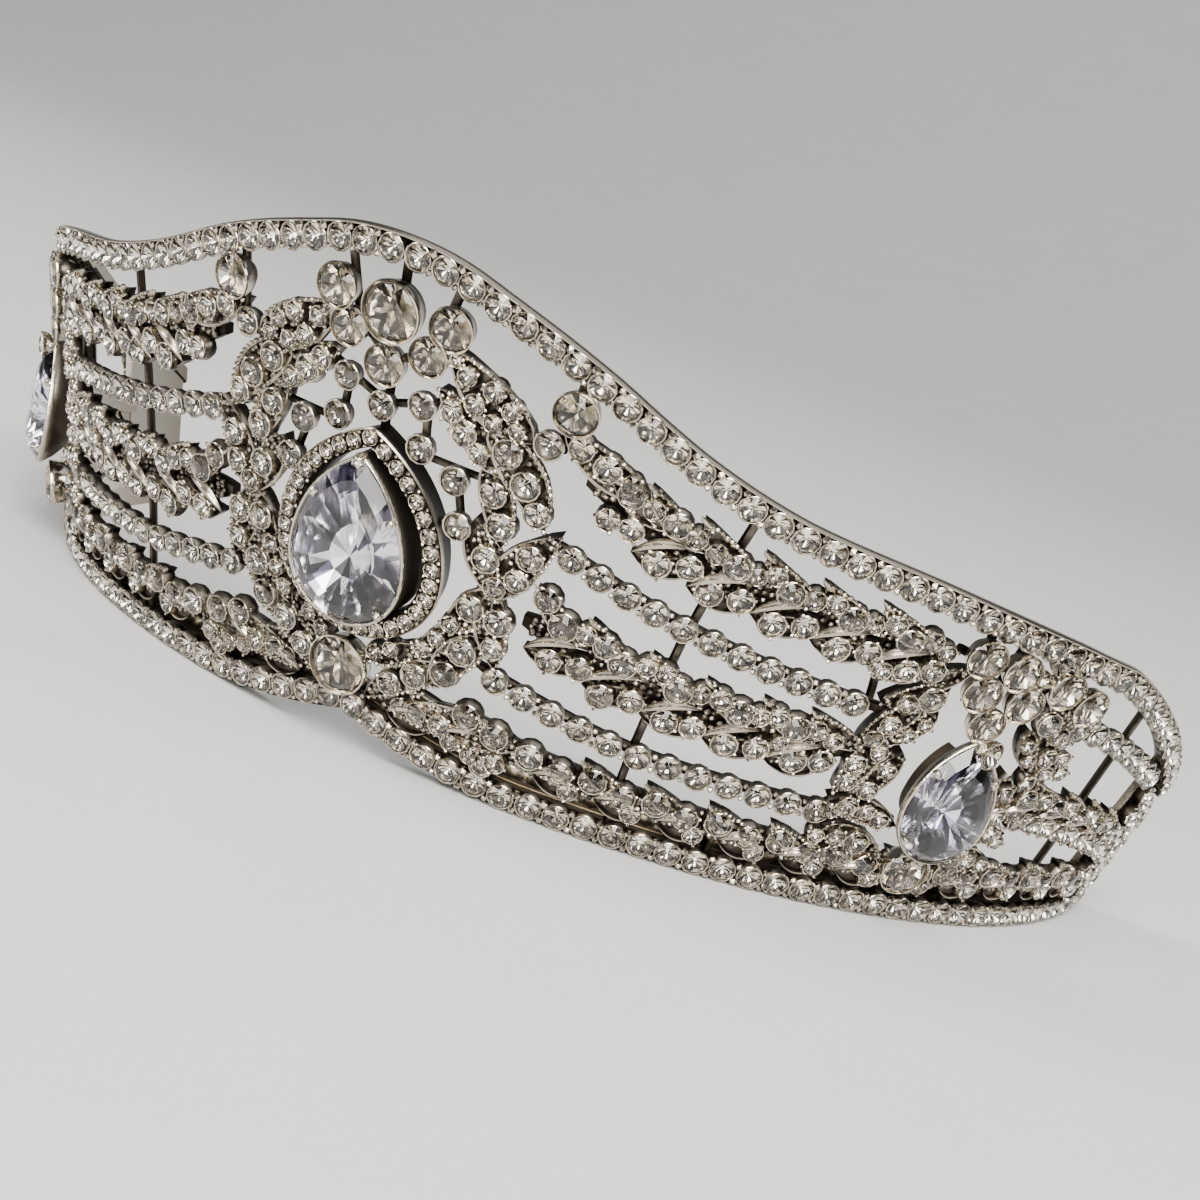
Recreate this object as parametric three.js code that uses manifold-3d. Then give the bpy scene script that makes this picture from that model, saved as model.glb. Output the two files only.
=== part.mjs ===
// A pierced bandeau tiara: one soldered metal frame, bent round an elliptical plan and leaning
// outward, that carries round and pear-shaped stones, each a solid of its own.
//
// The design is laid out flat, the way a maker saws it: s runs along the foot of the wall from
// the middle of the front, h runs up the wall and d stands out from its face. place() bends it.

import * as THREE from "three";
import { mergeVertices } from "three/addons/utils/BufferGeometryUtils.js";
import Module from "manifold-3d";

const wasm = await Module();
wasm.setup();

// ---- driving dimensions, in millimetres and degrees ----

const PLAN_HALF_WIDTH = 64;
const PLAN_HALF_DEPTH = 57.7;
const FLARE_FRONT = 18.6;
const FLARE_SIDE = 16;
const END = 99; // arc from the middle of the front to either end
const ROWS_END = 88; // the rows stop here against the plain end plate
const TAPER_START = 69;

const METAL_BACK = -2.2; // back of the soldered metal
const RAIL_FACE = 0; // face of the rows of few-sided collets
const GARLAND_FACE = -0.3; // face of the garlands
const LEAF_BACK = -1.8;
const LEAF_FACE = 0.2; // face of the leaves, the halo and the chain's small collets
const LINK_BACK = -1.6;
const LINK_FACE = -0.8;
const CLEAR_OF_FACE = 4; // height above the face that the hollows are cut to
const BAR_STEP = 6.6; // longest straight stretch of a bent bar
const SEAT_GAP = 0.3; // between a stone and what carries it
const BEZEL_WALL = 0.6;
const ROUND_GIRDLE = 0.75; // girdle of the round stones above the face of the wall
const ROUND_DEEP = 1.2; // their depth below the girdle
const PEAR_ROUND_STEPS = 6; // flats of the round end of a pear
const PEAR_FLANK_STEPS = 3; // flats of either flank

const TOP_RAIL = { low: -1.3, high: 1.75 };
const FOOT_RAIL = { low: -2.4, high: 1.3 };
const FOOT_HEIGHT = 1.4; // of the foot rail's stones above the resting edge
const FOOT_ARCH = { rise: 3.6, reach: 20 }; // the foot rail lifts to a soft point in the middle
const BAND_RISE = 1.4; // of the smooth band behind the foot rail, above the rail's face
const POST_WIDTH = 0.85;
const POSTS = [{ s0: 30.9, h0: 39.5, s1: 28.8, h1: 2 }]; // behind the rows, from rail to rail

// ---- tables: heights of the long members over their arc ----

const TOP_LINE = [
  { s: 0, h: 51.2 }, { s: 4.5, h: 50.7 }, { s: 9, h: 49.1 }, { s: 13.5, h: 47.3 },
  { s: 18, h: 45.2 }, { s: 22, h: 43.0 }, { s: 26, h: 41.0 }, { s: 31, h: 39.1 },
  { s: 36, h: 37.8 }, { s: 47, h: 36.2 }, { s: 61, h: 33.7 }, { s: 69, h: 32.1 }, { s: 110, h: 26 },
];
const UPPER_GARLAND = [
  { s: 14, h: 37.4 }, { s: 18, h: 36.4 }, { s: 25, h: 33.9 }, { s: 30, h: 32.3 },
  { s: 37, h: 31.1 }, { s: 45, h: 30.2 }, { s: 52, h: 30.4 },
];
const UPPER_ROW = [
  { s: 15, h: 29.4 }, { s: 18.2, h: 28.6 }, { s: 23.5, h: 26.9 }, { s: 28.8, h: 25.6 },
  { s: 36.8, h: 24.2 }, { s: 45.1, h: 23.3 }, { s: 49, h: 23.0 },
];
const MIDDLE_GARLAND = [
  { s: 14, h: 20.9 }, { s: 18.5, h: 20.1 }, { s: 24, h: 18.8 }, { s: 30, h: 17.7 },
  { s: 36, h: 17.2 }, { s: 42, h: 17.4 }, { s: 48, h: 18.0 },
];
const LOWER_ROW = [
  { s: 11, h: 14.5 }, { s: 14.6, h: 13.5 }, { s: 20.3, h: 12.3 }, { s: 26, h: 11.3 },
  { s: 33, h: 10.8 }, { s: 46.5, h: 10.9 }, { s: 50, h: 11.2 },
];
const LOWER_GARLAND = [
  { s: 5, h: 6.6 }, { s: 9, h: 7.1 }, { s: 14, h: 7.6 }, { s: 20, h: 6.9 }, { s: 28, h: 6.4 },
  { s: 40, h: 6.2 }, { s: 56, h: 6.2 }, { s: 70, h: 6.5 }, { s: 85, h: 7.8 }, { s: 95, h: 9.6 },
];
const OUTER_ROW = [{ s: 63, h: 27.0 }, { s: 67, h: 25.8 }, { s: 73, h: 25.6 }, { s: 110, h: 24 }];
const OUTER_GARLAND = [{ s: 63, h: 16 }, { s: 70, h: 15.6 }, { s: 80, h: 15.4 }, { s: 110, h: 14 }];

// ---- tables: leaves of the centre and side motifs, from stalk to tip ----

const CENTRE_LEAVES = [
  { name: "crown leaf", s0: 12.9, h0: 38.3, s1: 5.0, h1: 44.1, width: 4.6 },
  { name: "neck leaf", s0: 10.8, h0: 34.0, s1: 4.6, h1: 40.1, width: 3.6 },
  { name: "shoulder leaf", s0: 9.2, h0: 38.6, s1: 15.4, h1: 30.4, width: 4.2 },
  { name: "inner leaf", s0: 9.6, h0: 35.0, s1: 12.3, h1: 27.2, width: 3.2 },
  { name: "bud leaf, inner", s0: 9.6, h0: 29.2, s1: 12.9, h1: 21.8, width: 3.2 },
  { name: "bud leaf, outer", s0: 16.7, h0: 30.2, s1: 12.6, h1: 21.8, width: 3.6 },
  { name: "stalk, inner", s0: 12.2, h0: 22.6, s1: 9.0, h1: 16.6, width: 3.4 },
  { name: "stalk, outer", s0: 12.6, h0: 22.6, s1: 14.2, h1: 14.8, width: 3.4 },
  { name: "waist leaf", s0: 10.6, h0: 18.6, s1: 6.4, h1: 12.8, width: 2.6 },
  { name: "hip leaf", s0: 12.9, h0: 17.6, s1: 8.6, h1: 10.2, width: 3.6 },
  { name: "foot leaf", s0: 10.2, h0: 13.0, s1: 2.4, h1: 6.2, width: 3.2 },
  { name: "halo leaf", s0: 6.8, h0: 13.8, s1: 1.8, h1: 10.4, width: 2.4 },
  { name: "branch leaf", s0: 22.6, h0: 36.8, s1: 14.9, h1: 40.6, width: 3.6 },
];
const SIDE_LEAVES = [
  { name: "arm leaf", s0: 5.2, h0: 27.6, s1: 10.4, h1: 24.2, width: 3.2 },
  { name: "finger leaf", s0: 5.0, h0: 24.8, s1: 7.6, h1: 20.0, width: 2.2 },
  { name: "elbow leaf", s0: 6.6, h0: 25.0, s1: 10.4, h1: 19.0, width: 3.0 },
  { name: "wrist leaf", s0: 8.6, h0: 21.0, s1: 10.2, h1: 13.4, width: 3.2 },
  { name: "inner leaf", s0: 5.8, h0: 19.4, s1: 8.4, h1: 12.8, width: 2.8 },
  { name: "knee leaf", s0: 10.2, h0: 12.4, s1: 2.4, h1: 11.4, width: 3.2 },
  { name: "foot leaf", s0: 9.4, h0: 9.6, s1: 1.6, h1: 6.4, width: 4.2 },
];
const CENTRE_LINKS = [
  { s0: 3.6, h0: 38.2, s1: 4.0, h1: 33.4 },
  { s0: 4.6, h0: 38.3, s1: -0.5, h1: 36.2 },
  { s0: 3.4, h0: 32.9, s1: 10.4, h1: 32.9 },
  { s0: 6.6, h0: 27.2, s1: 11.2, h1: 28.0 },
  { s0: 4.9, h0: 50.2, s1: 3.3, h1: 42.8 },
  { s0: 15.6, h0: 47.0, s1: 15.0, h1: 38.2 },
  { s0: 15.8, h0: 5.9, s1: 16.2, h1: 2.0 },
];
const CENTRE_POSTS = [{ s0: 0, h0: 52, s1: 0, h1: 32 }, { s0: 0, h0: 13, s1: 0, h1: 3.6 }];
const SIDE_LINKS = [
  { s0: 53, h0: 35.4, s1: 54.4, h1: 26 }, { s0: 56.9, h0: 35, s1: 56.4, h1: 22 },
  { s0: 62.2, h0: 34, s1: 62.4, h1: 27 }, { s0: 51, h0: 31.4, s1: 67, h1: 27.5 },
  { s0: 57, h0: 10.5, s1: 57, h1: 1.6 },
];
const CHAIN_COLLETS = [
  { s: 3.6, h: 37.9, radius: 1.4 }, { s: 3.95, h: 33.8, radius: 1.5 }, { s: 7.3, h: 32.1, radius: 1.5 },
  { s: 8.3, h: 27.8, radius: 1.4 }, { s: 14.1, h: 38.8, radius: 1.5 }, { s: 15.4, h: 4.1, radius: 1.3 },
];

// ---- tables: the stones that are pieces of their own, for the right-hand half ----

const SIDE_MOTIF = 57; // arc to the middle of each side motif
const SIDE_REACH = 46; // beyond this arc a stone belongs to a side motif
const HALO = { h: 23.7, inner: 0.45, outer: 2.4, face: 1.4 };
const CENTRE_PEAR = { length: 16.8, half: 5.95, s: 0, h: 23.5, d: 2.6, tilt: 2, bezelBack: -1.6 };
const SIDE_PEAR = { length: 12.9, half: 4.75, s: SIDE_MOTIF, h: 16.5, d: 2.0, tilt: 11, bezelBack: -2.3 };
const CUP_STONES = [
  { name: "crown_round_stone", s: 0, h: 45.8, radius: 2.6, girdle: 0.9, deep: 1.6 },
  { name: "lower_round_stone", s: 0, h: 9.3, radius: 2.7, girdle: 1.4, deep: 1.8 },
];
const SIDE_CUP_STONES = [
  { name: "drop_round_stone", s: SIDE_MOTIF, h: 7.2, radius: 2.2, girdle: 1.8, deep: 1.8 },
];
const CENTRE_ROUNDS = [{ name: "crown_foot_stone", s: 0, h: 40.6, radius: 1.8 }];
const PAIRED_ROUNDS = [
  { name: "crown_side_stone", s: 5.0, h: 46.2, radius: 1.9 },
  { name: "crown_lower_stone", s: 3.55, h: 42.9, radius: 1.7 },
  { name: "branch_round_stone", s: 15.6, h: 42.8, radius: 1.9 },
  { name: "cluster_stone_1", s: 53.0, h: 31.8, radius: 1.8 },
  { name: "cluster_stone_2", s: 56.9, h: 31.2, radius: 1.8 },
  { name: "cluster_stone_3", s: 54.4, h: 28.1, radius: 1.8 },
  { name: "cluster_stone_4", s: 58.9, h: 27.9, radius: 1.8 },
  { name: "cluster_stone_5", s: 56.5, h: 24.9, radius: 1.75 },
  { name: "cluster_stone_6", s: 62.2, h: 30.3, radius: 1.8 },
  { name: "cluster_stone_7", s: 65.9, h: 28.9, radius: 1.8 },
];

const SILVER = { color: 0xc9c3b8, roughness: 0.3, metalness: 1 };
const CLEAR = { color: 0xe9eaec, roughness: 0.05, metalness: 0 };
const VIOLET = { color: 0xd6d2e0, roughness: 0.05, metalness: 0 };

// ---- the wall ----

const plan = new THREE.EllipseCurve(
  0, 0, PLAN_HALF_WIDTH, PLAN_HALF_DEPTH, -Math.PI / 2, Math.PI / 3,
);
plan.arcLengthDivisions = 600;
const planLength = plan.getLength();

/** A point of the bent wall: s along its foot, h up its slope, d out of its face. */
function place(s, h, d) {
  const foot = plan.getPointAt(Math.abs(s) / planLength);
  const normal = new THREE.Vector2(foot.x / PLAN_HALF_WIDTH ** 2, foot.y / PLAN_HALF_DEPTH ** 2).normalize();
  const turn = (foot.x / PLAN_HALF_WIDTH) ** 2;
  const lean = THREE.MathUtils.degToRad(THREE.MathUtils.lerp(FLARE_FRONT, FLARE_SIDE, turn));
  const out = h * Math.sin(lean) + d * Math.cos(lean);
  const x = foot.x + normal.x * out;
  return new THREE.Vector3(s < 0 ? -x : x, foot.y + normal.y * out, h * Math.cos(lean) - d * Math.sin(lean));
}

/** Height of a member over its arc, through its table, lowered towards the two ends. */
function heightAt(table, s) {
  const arc = Math.abs(s);
  const last = table.length - 2;
  const found = table.findIndex((row) => row.s > arc) - 1;
  const i = found < -1 ? last : THREE.MathUtils.clamp(found, 0, last);
  const slope = (k) => {
    const a = table[Math.max(k - 1, 0)];
    const b = table[Math.min(k + 1, last + 1)];
    return k === 0 && table[0].s === 0 ? 0 : (b.h - a.h) / (b.s - a.s);
  };
  const span = table[i + 1].s - table[i].s;
  const u = (arc - table[i].s) / span;
  const ease = u * u * (3 - 2 * u);
  const bow = u * (1 - u) * span * ((1 - u) * slope(i) - u * slope(i + 1));
  return (table[i].h * (1 - ease) + table[i + 1].h * ease + bow) * taperAt(arc);
}

/** Share of its full height that the design keeps at an arc near the ends. */
function taperAt(arc) {
  const past = Math.max(arc - TAPER_START, 0);
  return 1 - 0.19 * (past / 16) ** 1.3;
}

/** Height of the foot rail's stones, with the arch in the middle of the front. */
function footLine(s) {
  const near = Math.max(1 - Math.abs(s) / FOOT_ARCH.reach, 0);
  return FOOT_HEIGHT + FOOT_ARCH.rise * near * near;
}

/** Moves flat-laid vertices onto the wall. */
function bend(geometry) {
  const spots = geometry.attributes.position;
  for (let i = 0; i < spots.count; i += 1) {
    const bent = place(spots.getX(i), spots.getY(i), spots.getZ(i));
    spots.setXYZ(i, bent.x, bent.y, bent.z);
  }
  return geometry;
}

/** Axes and point of a piece on the wall; tilt swings its lower end outward. */
function stand({ s, h, d, tilt = 0 }) {
  const step = 0.01;
  const origin = place(s, h, d);
  const along = place(s + step, h, d).sub(origin).normalize();
  const up = place(s, h + step, d).sub(origin).normalize();
  const out = new THREE.Vector3().crossVectors(along, up);
  const angle = THREE.MathUtils.degToRad(tilt);
  const leaned = up.clone().multiplyScalar(Math.cos(angle)).addScaledVector(out, -Math.sin(angle));
  const facing = new THREE.Vector3().crossVectors(along, leaned);
  return new THREE.Matrix4().makeBasis(along, leaned, facing).setPosition(origin);
}

/** Mirrors a table row to the left-hand half where side is -1. */
function mirrored(row, side) {
  const copy = { ...row };
  for (const key of ["s", "s0", "s1"]) {
    if (key in copy) {
      copy[key] *= side;
    }
  }
  return copy;
}

// ---- solids ----

/** The solid of a closed geometry. */
function solid(geometry) {
  const bare = geometry.clone();
  bare.deleteAttribute("normal");
  bare.deleteAttribute("uv");
  const merged = mergeVertices(bare, 1e-5);
  const corners = Array.from(merged.index.array);
  const whole = [];
  for (let i = 0; i < corners.length; i += 3) {
    const [a, b, c] = corners.slice(i, i + 3);
    if (a !== b && b !== c && c !== a) {
      whole.push(a, b, c);
    }
  }
  return new wasm.Manifold(new wasm.Mesh({
    numProp: 3,
    vertProperties: new Float32Array(merged.attributes.position.array),
    triVerts: new Uint32Array(whole),
  }));
}

/** Joins solids in pairs, so that each step stays small. */
function join(solids) {
  let round = solids;
  while (round.length > 1) {
    const next = [];
    for (let i = 0; i < round.length; i += 2) {
      next.push(i + 1 < round.length ? round[i].add(round[i + 1]) : round[i]);
    }
    round = next;
  }
  return round[0];
}

/** A solid as a geometry again. */
function toGeometry(body) {
  const mesh = body.getMesh();
  const geometry = new THREE.BufferGeometry();
  geometry.setAttribute("position", new THREE.BufferAttribute(new Float32Array(mesh.vertProperties), 3));
  geometry.setIndex(Array.from(mesh.triVerts));
  geometry.computeVertexNormals();
  return geometry;
}

/** A strip of the wall whose edges change from column to column; backRise lifts its hind top edge. */
function strip(columns, side = 1, back = METAL_BACK, front = RAIL_FACE, backRise = 0) {
  const last = columns.length - 1;
  const box = new THREE.BoxGeometry(last, 2, front - back, last, 1, 1);
  const spots = box.attributes.position;
  for (let i = 0; i < spots.count; i += 1) {
    const column = columns[Math.round(spots.getX(i) * side + last / 2)];
    const high = spots.getZ(i) < 0 ? column.high + backRise : column.high;
    const edge = spots.getY(i) > 0 ? high : column.low;
    spots.setXYZ(i, side * column.s, edge, spots.getZ(i) + (back + front) / 2);
  }
  return solid(bend(box));
}

/** A flat plate of a closed outline. */
function plate(outline, back, front) {
  const shape = new THREE.Shape(outline.map(([s, h]) => new THREE.Vector2(s, h)));
  const flat = new THREE.ExtrudeGeometry(shape, { depth: front - back, bevelEnabled: false });
  return solid(flat.translate(0, 0, back));
}

/** A pointed leaf from stalk to tip. */
function leaf({ s0, h0, s1, h1, width }, back, front) {
  const run = new THREE.Vector2(s1 - s0, h1 - h0);
  const across = new THREE.Vector2(-run.y, run.x).normalize().multiplyScalar(width / 2);
  const spot = (u, side) => [s0 + run.x * u + across.x * side, h0 + run.y * u + across.y * side];
  return plate([spot(0, 0), spot(0.45, 1), spot(1, 0), spot(0.45, -1)], back, front);
}

/** A thin straight link or post. */
function link({ s0, h0, s1, h1 }, width, back, front) {
  const run = new THREE.Vector2(s1 - s0, h1 - h0);
  const across = new THREE.Vector2(-run.y, run.x).normalize().multiplyScalar(width / 2);
  const spot = (u, side) => [s0 + run.x * u + across.x * side, h0 + run.y * u + across.y * side];
  return plate([spot(0, 1), spot(0, -1), spot(1, -1), spot(1, 1)], back, front);
}

/** A flat round pad with few sides. */
function pad({ s, h, radius }, back, front) {
  const corner = (k) => (Math.PI * (k + 0.5)) / 3;
  const outline = Array.from({ length: 6 }, (_, k) => [
    s + radius * Math.cos(corner(k)), h + radius * Math.sin(corner(k)),
  ]);
  return plate(outline, back, front);
}

/** A level of the sawn design: its flat plates joined, then bent as one. */
function sawn(plates) {
  return solid(bend(toGeometry(join(plates))));
}

/** A few-sided drum standing out of the wall. */
function drum({ s, h, tilt = 0 }, radius, sides, back, front) {
  const body = new THREE.CylinderGeometry(radius, radius, front - back, sides);
  body.rotateX(Math.PI / 2).translate(0, 0, (back + front) / 2);
  return solid(body.applyMatrix4(stand({ s, h, d: 0, tilt })));
}

// ---- pear outlines and gems ----

/** Outline of a pear: a half round below, and two arcs that meet in the point above. */
function pearOutline({ length, half }, offset = 0) {
  const w = half + offset;
  const rise = length - half + offset;
  const radius = (w * w + rise * rise) / (2 * w);
  const waist = half - length / 2;
  const sweep = Math.asin(rise / radius);
  const arc = (x, size, from, to, steps) => {
    const curve = new THREE.EllipseCurve(x, waist, size, size, from, to);
    return curve.getPoints(steps).slice(0, -1);
  };
  return [
    ...arc(0, w, -Math.PI, 0, PEAR_ROUND_STEPS),
    ...arc(w - radius, radius, 0, sweep, PEAR_FLANK_STEPS),
    ...arc(radius - w, radius, Math.PI - sweep, Math.PI, PEAR_FLANK_STEPS),
  ];
}

/** A pear gem about its girdle: crown above, keel below. */
function pearGem(pear) {
  const levels = [
    { d: 1.9, scale: 0.58 }, { d: 0.25, scale: 1 }, { d: -0.25, scale: 1 }, { d: -2.6, scale: 0.16 },
  ];
  const rim = pearOutline(pear);
  const gem = new THREE.CylinderGeometry(1, 1, levels.length - 1, rim.length, levels.length - 1);
  const spots = gem.attributes.position;
  for (let i = 0; i < spots.count; i += 1) {
    const level = levels[Math.round((levels.length - 1) / 2 - spots.getY(i))];
    const turn = Math.atan2(spots.getX(i), spots.getZ(i)) / (2 * Math.PI);
    const corner = rim[Math.round(turn * rim.length + rim.length) % rim.length];
    const off = Math.hypot(spots.getX(i), spots.getZ(i)) * level.scale;
    spots.setXYZ(i, corner.x * off, corner.y * off, level.d);
  }
  return gem;
}

/** A round gem about its girdle. */
function roundGem(radius, deep, sides) {
  const profile = [[0, -deep], [radius, 0], [radius * 0.58, radius * 0.45], [0, radius * 0.45]];
  const points = profile.map(([r, y]) => new THREE.Vector2(r, y));
  return new THREE.LatheGeometry(points, sides).rotateX(Math.PI / 2);
}

// ---- the soldered frame ----

/** Columns of a row of few-sided collets: broad at each stone, a neck between them. */
function beaded(arcs, baseline, { low, high, neckLow, neckHigh }) {
  const columns = [];
  arcs.forEach((s, i) => {
    const pitch = i + 1 < arcs.length ? arcs[i + 1] - s : s - arcs[i - 1];
    const neck = s + pitch / 2;
    columns.push({ s, low: baseline(s) + low, high: baseline(s) + high });
    columns.push({ s: neck, low: baseline(neck) + neckLow, high: baseline(neck) + neckHigh });
  });
  return columns.slice(0, -1);
}

/** Both rails over the full arc; the foot rail's hind edge stands up as a smooth band. */
function rails() {
  const count = Math.ceil(END / BAR_STEP);
  const arcs = Array.from({ length: 2 * count + 1 }, (_, i) => (i / count - 1) * END);
  const rail = (line, { low, high }) => arcs.map((s) => ({ s, low: line(s) + low, high: line(s) + high }));
  return [
    strip(rail((s) => heightAt(TOP_LINE, s), TOP_RAIL)),
    strip(rail(footLine, FOOT_RAIL), 1, METAL_BACK, RAIL_FACE, BAND_RISE),
  ];
}

/** A plain row of few-sided collets, one side. */
function stoneRow(table, side, { from, to, first, count, pitch }) {
  const arcs = Array.from({ length: count }, (_, i) => first + i * pitch);
  const baseline = (s) => heightAt(table, s);
  const beads = beaded(arcs, baseline, { low: -1.25, high: 1.25, neckLow: -0.6, neckHigh: 0.6 });
  const end = (s) => ({ s, low: baseline(s) - 0.6, high: baseline(s) + 0.6 });
  return strip([end(from), ...beads, end(to)], side);
}

/** A garland: a band whose two edges are toothed by leaf tips that point to the front. */
function garland(table, side, { from, to, first, count, pitch, size }) {
  const baseline = (s) => heightAt(table, s);
  const column = (s, low, high) => ({ s, low: baseline(s) + low * size, high: baseline(s) + high * size });
  const columns = [column(from, -0.9, 0.9)];
  for (let i = 0; i < count; i += 1) {
    const s = first + i * pitch;
    columns.push(column(s, -1.6, 2.7), column(s + 0.4 * pitch, -2.9, 1.6));
  }
  columns.push(column(to, -0.9, 0.9));
  return strip(columns, side, METAL_BACK + 0.15, GARLAND_FACE);
}

/** All rows of one side, with its posts and end plate. */
function sideRows(side) {
  const plateArcs = [ROWS_END - 1.5, ROWS_END + 4.5, END - 0.3];
  const endPlate = plateArcs.map((s) => ({ s, low: 1, high: heightAt(TOP_LINE, s) }));
  return [
    garland(UPPER_GARLAND, side, { from: 14, to: 51.5, first: 16.6, count: 6, pitch: 5.6, size: 1 }),
    stoneRow(UPPER_ROW, side, { from: 15, to: 49, first: 18.2, count: 11, pitch: 2.69 }),
    garland(MIDDLE_GARLAND, side, { from: 13, to: 48.5, first: 16.8, count: 5, pitch: 5.6, size: 1 }),
    stoneRow(LOWER_ROW, side, { from: 11.5, to: 50, first: 14.6, count: 12, pitch: 2.9 }),
    garland(LOWER_GARLAND, side, { from: 5, to: ROWS_END, first: 7.4, count: 13, pitch: 5.9, size: 0.58 }),
    stoneRow(OUTER_ROW, side, { from: 62, to: ROWS_END, first: 67.4, count: 7, pitch: 2.75 }),
    garland(OUTER_GARLAND, side, { from: 62, to: ROWS_END, first: 67.5, count: 3, pitch: 5.8, size: 0.8 }),
    ...POSTS.map((row) => sawn([link(mirrored(row, side), POST_WIDTH, LINK_BACK - 0.1, LINK_FACE - 0.3)])),
    strip(endPlate, side, LEAF_BACK + 0.1, LINK_FACE),
  ];
}

/** The ring of small stones round the centre pear, laid flat. */
function halo(back, front) {
  const lifted = (offset) => pearOutline(CENTRE_PEAR, offset).map(({ x, y }) => [x, y + HALO.h]);
  return plate(lifted(HALO.outer), back, front).subtract(plate(lifted(HALO.inner), back - 1, front + 1));
}

/** The centre motif: leaves, chain and halo in front, links and seats lower down. */
function centreMotif() {
  const both = (rows, make) => [1, -1].flatMap((side) => rows.map((row) => make(mirrored(row, side))));
  const bar = (row) => link(row, POST_WIDTH, LINK_BACK, LINK_FACE);
  const seat = (row) => pad(row, LINK_BACK, LINK_FACE);
  const high = [
    ...both(CENTRE_LEAVES, (row) => leaf(row, LEAF_BACK, LEAF_FACE)),
    ...both(CHAIN_COLLETS, (row) => pad(row, LEAF_BACK, LEAF_FACE)),
    halo(LEAF_BACK, HALO.face),
  ];
  const seats = PAIRED_ROUNDS.filter((row) => row.s < SIDE_REACH);
  const low = [
    ...both(CENTRE_LINKS, bar),
    ...CENTRE_POSTS.map(bar),
    ...both(seats, seat),
    ...CENTRE_ROUNDS.map(seat),
  ];
  return [sawn(high), sawn(low)];
}

/** One side motif, laid out about its own middle: leaves in front, links and seats lower down. */
function sideMotif(side) {
  const about = ({ s0, h0, s1, h1, width }, fold) => (
    { s0: SIDE_MOTIF - fold * s0, h0, s1: SIDE_MOTIF - fold * s1, h1, width }
  );
  const high = [1, -1].flatMap((fold) => SIDE_LEAVES.map((row) => (
    leaf(mirrored(about(row, fold), side), LEAF_BACK, LEAF_FACE)
  )));
  const seats = PAIRED_ROUNDS.filter((row) => row.s > SIDE_REACH);
  const low = [
    ...SIDE_LINKS.map((row) => link(mirrored(row, side), POST_WIDTH, LINK_BACK, LINK_FACE)),
    ...seats.map((row) => pad(mirrored(row, side), LINK_BACK, LINK_FACE)),
  ];
  return [sawn(high), sawn(low)];
}

/** The open bezel of a pear, narrower below to make a ledge under the stone. */
function pearBezel(pear) {
  const block = (offset, back, front) => {
    const flat = plate(pearOutline(pear, offset).map(({ x, y }) => [x, y]), back, front);
    return solid(toGeometry(flat).applyMatrix4(stand(pear)));
  };
  const back = pear.bezelBack - pear.d;
  const opening = new THREE.CylinderGeometry(pear.half * 0.6, pear.half * 0.6, 20, 6);
  opening.rotateX(Math.PI / 2).translate(0, pear.half - pear.length / 2, 0).applyMatrix4(stand(pear));
  const seat = block(SEAT_GAP, back + 0.9, CLEAR_OF_FACE);
  return block(SEAT_GAP + BEZEL_WALL, back, 0.4).subtract(seat).subtract(solid(opening));
}

/** Everything that is soldered, as one solid, with the hollows of its stones and a level foot. */
function solderedFrame() {
  const paired = (rows) => [1, -1].flatMap((side) => rows.map((row) => mirrored(row, side)));
  const cups = [...CUP_STONES, ...paired(SIDE_CUP_STONES)];
  const seats = [...CENTRE_ROUNDS, ...paired(PAIRED_ROUNDS)];
  const parts = [...rails(), ...centreMotif(), pearBezel(CENTRE_PEAR)];
  for (const side of [1, -1]) {
    parts.push(...sideRows(side), ...sideMotif(side));
    parts.push(pearBezel({ ...SIDE_PEAR, s: side * SIDE_PEAR.s }));
  }
  for (const row of cups) {
    parts.push(drum(row, row.radius + SEAT_GAP + BEZEL_WALL, 8, METAL_BACK + 0.2, row.girdle + 0.1));
  }
  let body = join(parts);
  for (const row of cups) {
    const bed = row.girdle - row.deep - SEAT_GAP;
    body = body.subtract(drum(row, row.radius + SEAT_GAP, 8, bed, CLEAR_OF_FACE));
  }
  for (const row of seats) {
    const bed = ROUND_GIRDLE - ROUND_DEEP - SEAT_GAP;
    body = body.subtract(drum(row, row.radius + SEAT_GAP, 8, bed, CLEAR_OF_FACE));
  }
  const floor = new THREE.BoxGeometry(400, 400, 20).translate(0, 0, -10);
  return body.subtract(solid(floor));
}

// ---- the assembly ----

function mesh(name, geometry, finish, matrix = new THREE.Matrix4()) {
  const piece = new THREE.Mesh(geometry, new THREE.MeshStandardMaterial(finish));
  piece.name = name;
  matrix.decompose(piece.position, piece.quaternion, piece.scale);
  return piece;
}

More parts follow.
